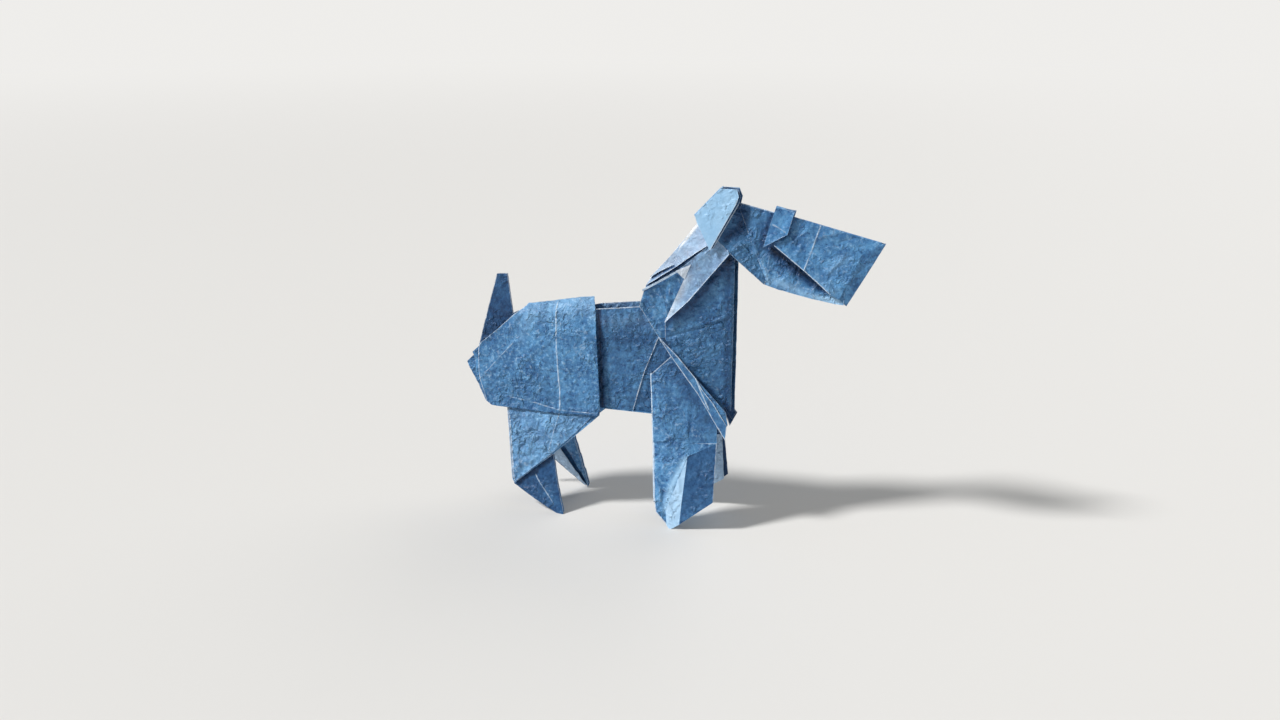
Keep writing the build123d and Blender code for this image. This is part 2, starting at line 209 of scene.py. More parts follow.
def distance_to(a, b, lines):
    """Distance in mm from each (a, b) to the nearest of some bent lines, at most FAR_OFF: the way to the nearest
    point of each straight run, which is the square foot on its line, kept between its ends."""
    nearest = np.full(a.shape, FAR_OFF)
    for line in lines:
        for (a0, b0), (a1, b1) in zip(line[:-1], line[1:]):
            run = (a1 - a0) ** 2 + (b1 - b0) ** 2
            share = np.clip(((a - a0) * (a1 - a0) + (b - b0) * (b1 - b0)) / max(run, 1e-9), 0, 1)
            gap = np.hypot(a - a0 - share * (a1 - a0), b - b0 - share * (b1 - b0))
            nearest = np.minimum(nearest, gap)
    return nearest


def keep(piece, front, back, edge, crease, dye_and_shading, white_and_highlight=0.0, under=None, crush=1.0):
    """Close a front grid and a back grid into one sheet: both grids and a strip of quads between their rims. No
    point lies below the floor. All faces are turned round if, summed over them, normal times the way from the
    sheet's middle is negative. Edge and crease are distances in mm. Tint is the depth of the dye together with
    painted shade and light: below 0 near black for painted contact shadows, 0 painted shade, 1 full dye, 2 pale,
    for the paler paper and for painted light and sheen. Chalk is the share of bare white, which also stands for
    painted highlights, and crush the strength of the grain. Under holds the tint and the chalk of the back."""
    rows, cols = front.shape[:2]
    index = np.arange(rows * cols).reshape(rows, cols)
    face = np.stack([index[:-1, :-1], index[:-1, 1:], index[1:, 1:], index[1:, :-1]], axis=-1).reshape(-1, 4)
    rim = np.concatenate([index[0, :-1], index[:-1, -1], index[-1, :0:-1], index[:0:-1, 0]])
    after, count = np.roll(rim, -1), rows * cols
    wall = np.stack([after, rim, rim + count, after + count], axis=-1)
    quads = np.concatenate([face, face[:, ::-1] + count, wall])
    points = np.concatenate([front.reshape(-1, 3), back.reshape(-1, 3)])
    points[:, 2] = np.maximum(points[:, 2], 0.0)
    corner = points[quads]
    spread = np.cross(corner[:, 2] - corner[:, 0], corner[:, 3] - corner[:, 1])
    if np.einsum("ij,ij->i", corner.mean(axis=1) - points.mean(axis=0), spread).sum() < 0:
        quads = quads[:, ::-1]
    marks = [np.tile(np.broadcast_to(mark, (rows, cols)).ravel(), 2).astype(float)
             for mark in (edge, crease, dye_and_shading, white_and_highlight, crush)]
    if under is not None:
        marks[2][count:], marks[3][count:] = under
    sheets.setdefault(piece, []).append((points, quads, marks))


def beside(x, z, base, terms):
    """A base value plus, for each (line, amount, reach), the amount times a square that falls off over the reach."""
    value = base + 0 * x
    for line, amount, reach in terms:
        value = value + amount * np.clip(1 - distance_to(x, z, [line]) / reach, 0, 1) ** 2
    return value


def lay(piece, plane, grid_and_lines, sides=BOTH, dye_and_shading=1.0, white_and_highlight=0.0, under=None, creases=(), faint=0.0, ridges=(),
        valleys=(), flare=(), painted_shading=(), painted_highlight=(), worn=(), rim=0.0, rubbed=0.14, crush=1.0, ply=PLY):
    """Panel on a plane: each point stands out, square to the plane, by the flare, the bells and crush times the
    crinkle, and the back lies a ply further in. Creases and ridges stand up and valleys sink by a bell curve of the
    distance from the line. Painted shading beside a line is added to the tint, darker for painted shadows and lighter
    for painted light, and painted highlights beside a line are added to the chalk; under holds both for the back.
    The edge distance starts at rubbed on the border and at minus rim on a worn line, and the crease distance starts
    at faint."""
    grid, border = grid_and_lines
    x, z = grid[..., 0], grid[..., 1]
    normal = np.array([plane[1], -1.0, plane[2]])
    normal /= np.linalg.norm(normal)
    edge = np.minimum(distance_to(x, z, border) + rubbed, distance_to(x, z, worn) - rim)
    crease, ridge, valley = [distance_to(x, z, lines) for lines in (creases, ridges, valleys)]
    bells = bell(crease, *CREASE_BELL) + bell(ridge, *RIDGE_BELL) + bell(valley, *VALLEY_BELL)
    rise = beside(x, z, bells, flare)
    dye_and_shading, white_and_highlight = beside(x, z, dye_and_shading, painted_shading), beside(x, z, white_and_highlight, painted_highlight)
    crease = np.minimum(crease + faint, ridge + RIDGE_FAINT)
    for side in sides:
        front = np.stack([x, y_on(plane, x, z), z], axis=-1) + (rise + crush * crinkle(x, z, side))[..., None] * normal
        back = front - ply * normal
        mirror = np.array([1.0, -side, 1.0])
        keep(piece, front * mirror, back * mirror, edge, crease, dye_and_shading, white_and_highlight, under, crush)


def hem(piece, line, outer, inner, bulge=0.35, sides=BOTH, dye_and_shading=1.0, drop=0.0, crush=1.0, wear=0.0, white_and_highlight=0.0):
    """Folded edge: half an oval carried along a line, from the outer panel, drop mm further in, round to the inner
    one. Y goes from one to the other by half a cosine, and the oval stands out to the left of the line's run by the
    bulge times a sine. A negative bulge is a hem pressed flat, worn over that width. Crush is the share of the
    crinkle that the outer panel has, and wear is the edge distance on the fold."""
    stops = stops_for(line, line, HEM_GRID)
    base = along(line, stops)
    run = np.gradient(base, axis=0)
    run /= np.maximum(np.linalg.norm(run, axis=1, keepdims=True), 1e-9)
    away = np.stack([-run[:, 1], run[:, 0]], axis=-1)
    turn = np.linspace(0, pi, HEM_TURNS)[:, None]
    x, z = base[None, :, 0], base[None, :, 1]
    for side in sides:
        lift = crinkle(x, z, side)
        skins = []
        for inset in (0.0, PLY):
            first = y_on(outer, x, z) + inset + drop - crush * lift
            last = y_on(inner, x, z) + PLY - inset - lift
            reach = max(bulge - inset, LEAST_BULGE) * np.sin(turn)
            y = first + (last - first) * (1 - np.cos(turn)) / 2
            skins.append(np.stack([x + reach * away[None, :, 0], y, z + reach * away[None, :, 1]], axis=-1))
        mirror = np.array([1.0, -side, 1.0])
        edge = np.abs(turn - pi / 2) * abs(bulge) + wear + 0 * x
        keep(piece, skins[0] * mirror, skins[1] * mirror, edge, FAR_OFF, dye_and_shading, white_and_highlight)


def crest(piece, line, half, rise=0.30, drop=0.25, dye_and_shading=1.0, white_and_highlight=0.0, wear=0.12):
    """Folded crest where both sides meet: an oval carried along a line over the dog's middle. Y goes from -half to
    half by a cosine, and the oval stands up, square to the line, by the rise times a sine, less the drop. The inner
    skin is the same oval, shrunk and a little lower."""
    stops = stops_for(line, line, HEM_GRID)
    base = along(line, stops)
    run = np.gradient(base, axis=0)
    run /= np.maximum(np.linalg.norm(run, axis=1, keepdims=True), 1e-9)
    up = np.stack([-run[:, 1], run[:, 0]], axis=-1)
    turn = np.linspace(0, pi, CREST_TURNS)[:, None]
    skins = []
    for shrink in (1.0, CREST_SHRINK):
        reach = (rise * np.sin(turn) - drop) * shrink - (1 - shrink) * CREST_SINK
        y = -half * shrink * np.cos(turn) + 0 * base[None, :, 0]
        skins.append(np.stack([base[None, :, 0] + reach * up[None, :, 0], y,
                               base[None, :, 1] + reach * up[None, :, 1]], axis=-1))
    edge = np.abs(turn - pi / 2) * half + wear + 0 * base[None, :, 0]
    keep(piece, skins[0], skins[1], edge, FAR_OFF, dye_and_shading, white_and_highlight)


# ---- Body -----------------------------------------------------------------------------------

# The panels' planes, on the near side. The far side mirrors them.
WALL = near_side(3.0, -2.0, 0.0, 0.0, 54.0)
THIGH = near_side(3.85, 14.2, -2.8, -14.5, 26.3)
FOOT = inward(THIGH, POCKET)
UPPER_LEG = near_side(3.1, 3.0, 0.0, 0.0, 44.0)
PLEAT = near_side(3.9, 2.45, 0.0, 0.0, 48.0)
CHEST = near_side(3.8, 0.0, 7.4, 0.7, 0.0)
SHOULDER = near_side(3.6, 0.0, 7.4, 0.7, 0.0)
STRIP = near_side(3.8, 0.0, 6.5, 2.3, 0.0)
NECK = hanging(8.9, 75.7, -51.8, 23.5, 0.25)
CHEEK = hanging(19.7, 81.1, 12.5, 3.5, 0.25)
MUZZLE = hanging(19.7, 81.1, 12.5, 3.0, 0.25 + STEP)
BROW = hanging(19.7, 82.7, 12.5, 4.8, 0.6)
EAR = near_side(1.5, 10.3, 0.0, 0.0, 84.8)

ARCH = 3.2  # height of the oval arch over the sleeve's straight sides
MOUTH_X, MOUTH_LOW = -14.5, 28.0  # near end of the sleeve's front edge, and its foot
RIDGE_Z, RIDGE_SLOPE = 56.3, 0.1522  # ridge height at the mouth, and its rise toward the front
HALF_X, HALF_Y, HALF_SLOPE = -13.5, 4.0, 0.04507  # half width of the sleeve at an x, and its growth toward the front
SLANT, MOUTH_LEAN = 0.3445, 0.0438  # how the front edge runs back toward the far side and toward the ridge
SLEEVE_PLY = 0.3  # thickness of the sleeve's pressed plies


def ridge_at(x):
    """Height of the sleeve's ridge: its height at the mouth plus the slope times the way from there."""
    return RIDGE_Z + RIDGE_SLOPE * (x - MOUTH_X)


def sleeve_half(x):
    """Half width of the sleeve: a straight line along x."""
    return HALF_Y + HALF_SLOPE * (x - HALF_X)


def arch_length(x):
    """Length of a quarter of the oval: half pi times the root of the mean of its half axes squared."""
    return pi / 2 * np.sqrt((sleeve_half(x) ** 2 + ARCH**2) / 2)


def crown(x):
    """Distance round the section up to the ridge: the height of the straight side plus the quarter oval."""
    return float(ridge_at(x) - ARCH + arch_length(x))


def girth(x, z):
    """Distance round the sleeve's section from the floor line up, for a side-view height: the height itself on the
    straight side, and on the arch the angle whose sine is the height over the arch, as a share of the quarter."""
    spring = ridge_at(x) - ARCH
    over = np.clip((np.asarray(z, float) - spring) / ARCH, 0, 1)
    return np.where(z > spring, spring + arch_length(x) * np.arcsin(over) / (pi / 2), z)


def round_sleeve(x, t):
    """Across and up for a distance t round the section: straight up to the spring of the arch, then the cosine
    times the half width and the sine times the arch, of an angle that grows evenly with t."""
    spring = ridge_at(x) - ARCH
    turn = np.clip((t - spring) / arch_length(x), 0, 1) * pi / 2
    across = sleeve_half(x) * np.where(t > spring, np.cos(turn), 1.0)
    return across, np.where(t > spring, spring + ARCH * np.sin(turn), t)


def sleeve_front(t, side):
    """X of the slanted front edge: the mouth less the slant times the way across and the lean times the way up."""
    across, up = round_sleeve(MOUTH_X - 1.0, t)
    return MOUTH_X - SLANT * (side * across + HALF_Y) - MOUTH_LEAN * (up - MOUTH_LOW)


def rump_sleeve():
    """Arched sleeve: straight sides up to the spring line, then an oval arch, cut by the slanted front and rear. A
    flat patch in (x, distance round the section) for each side is carried round the section, and each point then
    stands out by the crinkle, the bells, the flared foot and the flattened shoulder."""
    corner_x, corner_z, rear_rise = -43.0, 45.6, 0.9158
    slope = [(x, corner_z + rear_rise * (x - corner_x)) for x in (-43.0, -40.0, -38.5, -37.0, -36.0, -35.2, -34.8)]
    rear = [(-46.1, 26.4), (-48.0, 32.0), (-48.2, 40.1), (-47.7, 41.8)]
    rear = rear + [(x, float(girth(x, z))) for x, z in slope]
    crown_rear = (-34.67, crown(-34.67))
    crown_t = crown(-17.1)
    up = np.linspace(MOUTH_LOW, crown_t, 14)
    half_grids = []
    for side in BOTH:
        front = [(float(sleeve_front(t, side)), float(t)) for t in up]
        corner = (front[0][0] - 0.6, 26.2)
        bottom = [(-46.1, 26.4), (-44.6, 25.5), (-26.1, 25.6), corner]
        half_grids.append(patch(bottom, [crown_rear, front[-1]], rear + [crown_rear], [corner] + front)[0])
    rows = min(half.shape[0] for half in half_grids)
    cols = min(half.shape[1] for half in half_grids)
    near, far = [resample(half, rows, cols) for half in half_grids]
    x = np.concatenate([near[..., 0], far[-2::-1, :, 0]])
    t = np.concatenate([near[..., 1], far[-2::-1, :, 1]])
    side = np.concatenate([np.full(near.shape[:2], -1.0), np.full(far[1:].shape[:2], 1.0)])
    across, z = round_sleeve(x, t)
    base = np.stack([x, side * across, z], axis=-1)
    normal = np.cross(np.gradient(base, axis=1), np.gradient(base, axis=0))
    normal /= np.linalg.norm(normal, axis=-1, keepdims=True)
    outward = np.sign(np.einsum("ijk,ijk->ij", normal, base - np.array([-30.0, 0.0, 42.0])))[..., None]
    normal = normal * outward
    fade = np.clip((crown_t - t) / 3.0, 0, 1)
    lift = np.where(side > 0, crinkle(x, t, NEAR) * (1 - fade) + crinkle(x, t, FAR) * fade, crinkle(x, t, NEAR))
    lift = lift + 0.10 * np.exp(-distance_to(x, t, [[(-34.5, 36.0), (-31.5, 35.2)]]) / 2.2) * swell(x, t, 1.3, 8)
    folds = [[(-26.3, 55.2), (-26.3, 52.6), (-25.9, 39.6), (-25.4, 26.2)]]
    weak = [[(-47.8, 32.3), (-42.9, 37.8), (-38.0, 43.0)], [(-38.8, 48.3), (-38.9, 44.7)],
            [(-40.5, 28.3), (-32.5, 27.5), (-25.5, 26.4), (-15.1, 26.6)]]
    bumps = distance_to(x, t, [[(-33.1, 37.1), (-31.7, 33.5)], [(-29.6, 38.0), (-28.8, 35.6)],
                               [(-34.8, 34.7), (-33.9, 33.9)], [(-43.3, 38.2), (-42.7, 33.8)],
                               [(-39.5, 46.5), (-36.2, 50.2)]])
    crease = np.minimum(distance_to(x, t, folds), distance_to(x, t, weak) + 0.09)
    lift = lift + bell(crease, 0.07, 0.4) + bell(bumps, 0.12, 0.6)
    flared_foot = 0.75 * np.clip(1 - (t - 25.7) / 3.5, 0, 1) ** 2
    flat_shoulder = 0.5 * np.clip((t - 43.0) / 9.5, 0, 1) ** 2 * np.clip((57.5 - t) / 4.0, 0, 1)
    lift = lift + flared_foot - flat_shoulder
    crease = np.minimum(crease, bumps + 0.22)
    front = base + lift[..., None] * normal
    rim = [[(x[i, 0], t[i, 0]) for i in range(0, len(near), 6)]]
    rim_far = [[(x[i, 0], t[i, 0]) for i in range(len(near), len(x), 6)]]
    edge = np.where(side < 0, distance_to(x, t, rim), distance_to(x, t, rim_far))
    # Painted light and shade: lighter toward the top of the arch, darker toward the foot, and darker and lighter
    # patches on the side.
    dye_and_shading = 0.92 + 0.55 * np.clip((t - 46.0) / 12.0, 0, 1) - 0.30 * np.clip(1 - (t - 25.6) / 8.0, 0, 1)
    dye_and_shading = beside(x, t, dye_and_shading, [([(-22.0, 45.0), (-19.0, 50.0), (-17.0, 46.0)], -0.22, 5.0),
                               ([(-36.0, 44.0), (-33.0, 51.0)], 0.25, 5.0),
                               ([(-31.5, 33.0), (-29.0, 30.0)], -0.25, 4.0)])
    keep("rump_sleeve", front, front - SLEEVE_PLY * normal, edge, crease, dye_and_shading)


def resample(grid, rows, cols):
    """Pick rows and columns of a grid evenly, so that two grids have the same count."""
    pick_r = np.round(np.linspace(0, grid.shape[0] - 1, rows)).astype(int)
    pick_c = np.round(np.linspace(0, grid.shape[1] - 1, cols)).astype(int)
    return grid[pick_r][:, pick_c]


def body_walls():
    """Outer wall and lapped inner layer as patches, joined below by a belly fold whose height is a cosine of y. The
    shade beside the sleeve follows its slanted mouth, so each side has its own."""
    slant = [(-6.4, 27.6), (-3.2, 38.6), (0.5, 47.8)]
    outer = patch([(-20.0, 27.5), (-6.4, 27.6)], [(-20.0, 52.6), (-16.0, 53.6), (-4.0, 55.2), (4.6, 54.0)],
                  [(-20.0, 27.5), (-20.0, 52.6)], slant + [(4.6, 48.2), (4.6, 54.0)])
    top = [(-16.0, 53.6), (-4.0, 55.2), (4.6, 54.0)]
    for side, mouth in ((NEAR, -14.6), (FAR, -17.2)):
        # Painted shade: the wall is darker than the dye, with a painted shadow of the sleeve along its mouth, a broad
        # darker band in the middle, and a faint painted sheen near the top.
        lay("body_walls", WALL, outer, (side,), dye_and_shading=0.62, under=(1.0, 0.1), worn=[slant, top], rim=0.02, crush=0.9,
            ridges=[[(-13.6, 52.6), (-13.0, 48.3)], [(-11.6, 52.0), (-11.2, 50.0)], [(-9.3, 52.9), (-8.3, 48.7)],
                    [(-6.9, 53.4), (-7.4, 50.6)], [(-5.0, 54.0), (-4.4, 50.5)], [(-2.5, 53.0), (-0.5, 48.5)]],
            valleys=[[(-12.6, 51.5), (-12.0, 49.0)], [(-10.3, 52.5), (-9.8, 50.2)], [(-3.6, 53.6), (-2.9, 50.4)]],
            painted_highlight=[([(-15.0, 50.5), (-2.0, 52.0)], 0.04, 4.0)],
            painted_shading=[([(-12.0, 46.0), (-2.0, 47.0)], -0.28, 6.0),
                   ([(mouth - 0.3, 53.6), (mouth + 0.2, 28.0)], -1.2, 1.5)])
    inner = patch([(-9.0, 27.3), (6.0, 27.3)], [(-4.0, 50.0), (4.0, 50.0)], None,
                  [(6.0, 27.3), (6.0, 46.0), (4.0, 50.0)])
    lay("body_walls", inward(WALL, STEP), inner, dye_and_shading=0.45)
    belly_half, belly_z, sag = 2.3, 27.45, 0.25
    x, y = np.meshgrid(np.linspace(-17.0, 6.0, 60), np.linspace(-belly_half, belly_half, 15))
    belly = np.stack([x, y, belly_z - sag * np.cos(y / belly_half * pi / 2)], axis=-1)
    keep("body_walls", belly, belly + np.array([0, 0, PLY]), FAR_OFF, FAR_OFF, 0.85)


def hind_legs():
    """Thigh, its lining, the folded feet and their turned-in flaps as patches on parallel planes, a pocket apart,
    with hems round the folded edges. The far foot has its own outline."""
    thigh = patch([(-36.9, 6.6), (-26.8, 15.4), (-20.6, 21.4), (-16.9, 25.4), (-15.2, 26.4)],
                  [(-40.3, 28.4), (-15.4, 28.4)], [(-36.9, 6.6), (-37.3, 7.6), (-40.1, 25.9), (-40.3, 28.4)],
                  [(-15.2, 26.4), (-15.4, 28.4)])
    # Painted light and shade: the thigh is lighter than the dye, with a painted shadow of the sleeve's foot along its
    # top.
    lay("hind_legs", THIGH, thigh, creases=[[(-25.4, 26.4), (-26.8, 20.8), (-28.0, 15.4)]], dye_and_shading=1.18, faint=0.1,
        worn=[[(-37.0, 7.0), (-40.1, 25.9), (-40.3, 28.4)]], crush=1.5,
        ridges=[[(-38.9, 23.7), (-36.8, 16.9), (-35.6, 10.7)], [(-35.5, 24.0), (-33.8, 19.5)],
                [(-31.6, 21.7), (-33.5, 14.5)], [(-28.6, 24.5), (-29.6, 19.5)], [(-22.5, 24.8), (-19.6, 25.5)],
                [(-24.6, 23.8), (-23.4, 20.8)]],
        valleys=[[(-37.0, 24.5), (-35.4, 19.0)], [(-30.2, 25.0), (-31.2, 20.5)]],
        painted_shading=[([(-40.0, 28.0), (-16.0, 27.0)], -0.5, 3.0)])
    lining = patch([(-37.0, 6.2), (-26.4, 15.2), (-20.0, 21.2), (-14.8, 26.0)], [(-40.9, 28.2), (-14.8, 28.2)],
                   [(-37.0, 6.2), (-37.7, 7.2), (-40.6, 25.9), (-40.9, 28.2)])
    lay("hind_legs", inward(THIGH, STEP), lining, dye_and_shading=1.0)
    near_foot = patch([(-37.4, 5.8), (-30.9, 2.5), (-24.9, -0.1), (-22.9, -0.1)], [(-40.8, 27.2), (-31.0, 27.2)],
                      None, [(-22.9, -0.1), (-25.2, 7.2), (-27.1, 14.9), (-28.2, 19.0), (-31.0, 27.2)])
    # Painted shade: the near foot is dark for the shade in the pocket under the thigh, with a painted shadow under the
    # thigh's hem, and lighter toward the toe.
    lay("hind_legs", FOOT, near_foot, (NEAR,), dye_and_shading=0.14, faint=0.08, crush=0.6,
        creases=[[(-31.5, 9.0), (-30.1, 7.0), (-28.0, 4.6), (-25.8, 2.1)]],
        painted_shading=[([(-37.0, 7.0), (-26.8, 15.8)], -0.9, 2.2), ([(-27.5, 4.5), (-23.6, 0.5)], 0.25, 3.5)])
    far_foot = patch([(-38.0, 15.2), (-31.0, 8.3), (-23.3, 0.4), (-22.7, -0.1)], [(-41.3, 27.2), (-26.0, 27.2)],
                     None, [(-22.7, -0.1), (-22.1, 1.2), (-24.7, 16.8), (-26.0, 27.2)])
    # Painted shade: the far foot is a little darker than the dye and its back, seen from the near side, darker still.
    lay("hind_legs", FOOT, far_foot, (FAR,), dye_and_shading=0.8, under=(0.35, 0.0))
    flap = inward(FOOT, POCKET)
    lay("hind_legs", flap, patch([(-37.0, 6.2), (-30.8, 2.8), (-24.8, 0.1)],
                                 [(-36.9, 6.4), (-31.5, 11.0), (-24.4, 0.8)]), (NEAR,), dye_and_shading=0.9)
    lay("hind_legs", flap, patch([(-23.3, -0.1), (-25.6, 7.2), (-27.5, 14.9), (-28.6, 19.0)],
                                 [(-24.1, 1.0), (-30.2, 12.0), (-28.8, 19.0)]), (NEAR,), dye_and_shading=0.9)
    # Painted light: the back of the far rear flap, which faces the camera, is pale.
    lay("hind_legs", flap, patch([(-38.0, 15.4), (-30.9, 8.6), (-23.2, 0.7)],
                                 [(-37.9, 15.5), (-29.2, 12.4), (-23.0, 1.0)]), (FAR,), under=(1.75, 0.32))
    lay("hind_legs", flap, patch([(-22.5, -0.1), (-22.4, 1.2), (-25.0, 16.8), (-26.4, 22.0)],
                                 [(-22.6, 2.1), (-27.8, 13.6), (-26.5, 22.0)]), (FAR,))
    # The near foot's hems are darker, as painted shade in the pocket under the thigh.
    for side, dye_and_shading, wear, lines in (
            (NEAR, 0.6, 0.1, ([(-37.0, 6.2), (-30.8, 2.8), (-24.8, 0.1)],
                              [(-23.1, 0.3), (-25.4, 7.2), (-27.3, 14.9), (-28.4, 19.0)])),
            (FAR, 0.95, 0.0, ([(-38.0, 15.3), (-31.0, 8.4), (-23.2, 0.6)],
                              [(-22.3, 1.2), (-24.9, 16.8), (-26.2, 22.0)]))):
        for line in lines:
            hem("hind_legs", line, FOOT, flap, -0.35, (side,), dye_and_shading, wear=wear)
    hem("hind_legs", [(-37.4, 7.4), (-40.2, 25.9), (-40.4, 27.8)], THIGH, FOOT, 0.3, dye_and_shading=1.5, crush=1.5, wear=-0.08,
        white_and_highlight=0.3)


def front_legs():
    """Upper leg on its own plane. Below the knee three more planes, each through three points: the shin, the bright
    strip that turns out along the ridge, and the forward flap. Inner flaps lie a pocket further in."""
    knee_rear, knee_front, toe = (-0.5, 20.4), (15.8, 22.1), (5.4, -0.3)
    shin = facet(at(UPPER_LEG, knee_rear), at(UPPER_LEG, knee_front), (toe[0], -9.0, toe[1]))
    top, low, heel, front = (8.7, 18.2), (3.9, 4.3), (4.4, 0.7), (7.8, 1.4)
    ridge = at(shin, front, 0.7)
    bright = facet(at(shin, top), at(shin, low), ridge)
    forward = facet(at(UPPER_LEG, knee_front), at(shin, top), ridge)
    upper = patch([knee_rear, knee_front], [(-1.4, 38.2), (3.4, 43.0), (4.3, 44.2), (10.2, 37.0), (15.7, 30.5)],
                  None, [knee_front, (15.7, 30.5)])
    rear_rim = [[(-1.4, 38.2), (3.4, 43.0), (4.3, 44.2)], [knee_rear, (-1.4, 38.2)]]
    # Painted light and shade: the upper leg is darker than the dye, darker still beside the pleats as their painted
    # shadow, and lighter toward the rear edge that faces the light.
    lay("front_legs", UPPER_LEG, upper, rubbed=FAR_OFF, dye_and_shading=0.72, worn=rear_rim[:1], rim=0.05,
        creases=[[(9.6, 21.35), knee_front]], faint=0.08, flare=[([knee_rear, (-1.4, 38.2)], -0.5, 7.0)],
        ridges=[[(0.7, 36.4), (1.3, 37.9)], [(2.9, 31.0), (1.6, 26.5)], [(3.9, 22.4), (2.2, 21.4)],
                [(0.2, 33.0), (0.9, 29.0)]],
        valleys=[[(0.5, 25.5), (1.6, 23.0)], [(3.4, 27.0), (4.4, 24.0)]],
        painted_shading=[([(5.0, 40.9), (8.6, 34.6), (12.6, 29.3), (14.8, 26.7)], -0.42, 5.0), (rear_rim[1], 0.25, 6.0)])
    rear = patch([(0.8, 5.5), (1.3, 3.5), heel], [knee_rear, knee_front], None, [heel, low, top, knee_front])
    soft = [(8.3, 17.3), (7.3, 15.0), (6.2, 13.0), (5.2, 10.4), (4.5, 7.6), (4.1, 4.5)]
    # Painted light: the shin lightens toward the bright strip with a soft edge, and toward its rear edge.
    lay("front_legs", shin, rear, dye_and_shading=0.80, rubbed=FAR_OFF, rim=0.05, worn=[[knee_rear, (0.8, 5.5), (1.3, 3.5), heel]],
        flare=[([knee_rear, (0.8, 5.5)], -0.5, 7.0)],
        ridges=[[(0.9, 12.2), (2.2, 8.3), (1.7, 5.1)], [(2.2, 17.6), (3.0, 13.5)]],
        valleys=[[(1.6, 18.6), (2.7, 16.8)], [(3.2, 8.8), (3.0, 6.4)]],
        painted_shading=[(soft, 1.5, 2.4), ([knee_rear, (0.8, 5.5)], 0.25, 5.0)])
    strip = patch([heel, toe, front], [(8.6, 18.0), top], [heel, low, (8.6, 18.0)], [front, top])
    # Painted light: the bright strip is pale and a little whitened.
    lay("front_legs", bright, strip, rubbed=FAR_OFF, worn=[[heel, toe]], rim=-0.08, dye_and_shading=2.0, white_and_highlight=0.12, crush=0.55,
        valleys=[[(4.1, 3.4), (4.5, 1.0)]], ridges=[[(5.2, 5.8), (6.0, 3.0)], [(6.9, 12.0), (7.3, 9.5)]])
    # Painted shade: the forward flap is dark, its back darker on the near side and near black on the far side, and a
    # little lighter toward its lower edge.
    for side, corner, under in ((NEAR, (16.0, 7.9), (0.45, 0.0)), (FAR, (16.3, 9.3), (0.0, 0.0))):
        fore = patch([front, corner], [top, knee_front])
        lay("front_legs", forward, fore, (side,), dye_and_shading=0.22, under=under, rubbed=FAR_OFF, worn=[[corner, knee_front]],
            rim=-0.08, crush=0.5, painted_shading=[([front, corner], 0.25, 5.0)])
    flap, shin_flap = inward(UPPER_LEG, POCKET), inward(shin, POCKET)
    # Painted shade and light: the inner flap is darker and its back near black; the back of the shin's inner flap,
    # which faces the camera on the far leg, is pale.
    lay("front_legs", flap, patch([(-0.5, 20.4), (14.6, 21.6)], [(-1.4, 38.2), (3.4, 43.0), (12.0, 33.0), (14.6, 28.0)],
                                  None, [(14.6, 21.6), (14.6, 28.0)], 0.4), dye_and_shading=0.6, under=(0.1, 0.0))
    lay("front_legs", shin_flap, patch([(0.8, 5.5), (5.4, 0.9), (15.5, 8.4)], [(-0.5, 20.4), (15.4, 21.7)],
                                       spacing=0.4), under=(1.75, 0.28))
    for line, outer, inner in (([knee_rear, (-1.4, 38.2)], UPPER_LEG, flap),
                               ([(0.8, 5.5), knee_rear], shin, shin_flap)):
        hem("front_legs", line, outer, inner, dye_and_shading=1.8, drop=0.5, wear=-0.12, white_and_highlight=0.4)


def pleats():
    """Narrow outer and inner pleats as patches on parallel planes. The far tuft has its own end."""
    for side, low, high in ((NEAR, (18.0, 23.6), (18.3, 27.3)), (FAR, (17.0, 23.6), (18.9, 27.5))):
        outer = patch([(0.7, 48.0), (3.8, 43.7), (11.0, 34.5), (15.8, 26.9), low],
                      [(0.9, 48.0), (5.9, 43.4), (10.5, 38.4), (12.1, 35.7), (14.9, 32.5), high], None, [low, high])
        lower, upper = outer[1][:2]
        # Painted shade: the pleats are darker than the dye and their backs, seen as the far tuft, are near black.
        lay("pleats", PLEAT, outer, (side,), dye_and_shading=0.80, under=(0.0, 0.0), crush=0.6, worn=[lower, upper[:3]], rim=0.05,
            rubbed=0.08, faint=0.02, creases=[[(10.3, 38.6), (12.0, 34.6), (13.8, 31.0)],
                                              [(11.3, 36.8), (14.5, 33.0), (18.1, 27.7)]])
    inner = patch([(4.0, 45.0), (13.0, 33.0), (17.6, 25.6)], [(4.2, 45.2), (10.4, 38.3), (17.9, 30.6), (18.5, 27.4)])
    # Painted shade: the inner pleat is darker than the dye and its back near black.
    lay("pleats", inward(PLEAT, STEP), inner, dye_and_shading=0.74, under=(0.0, 0.0), crush=0.6)


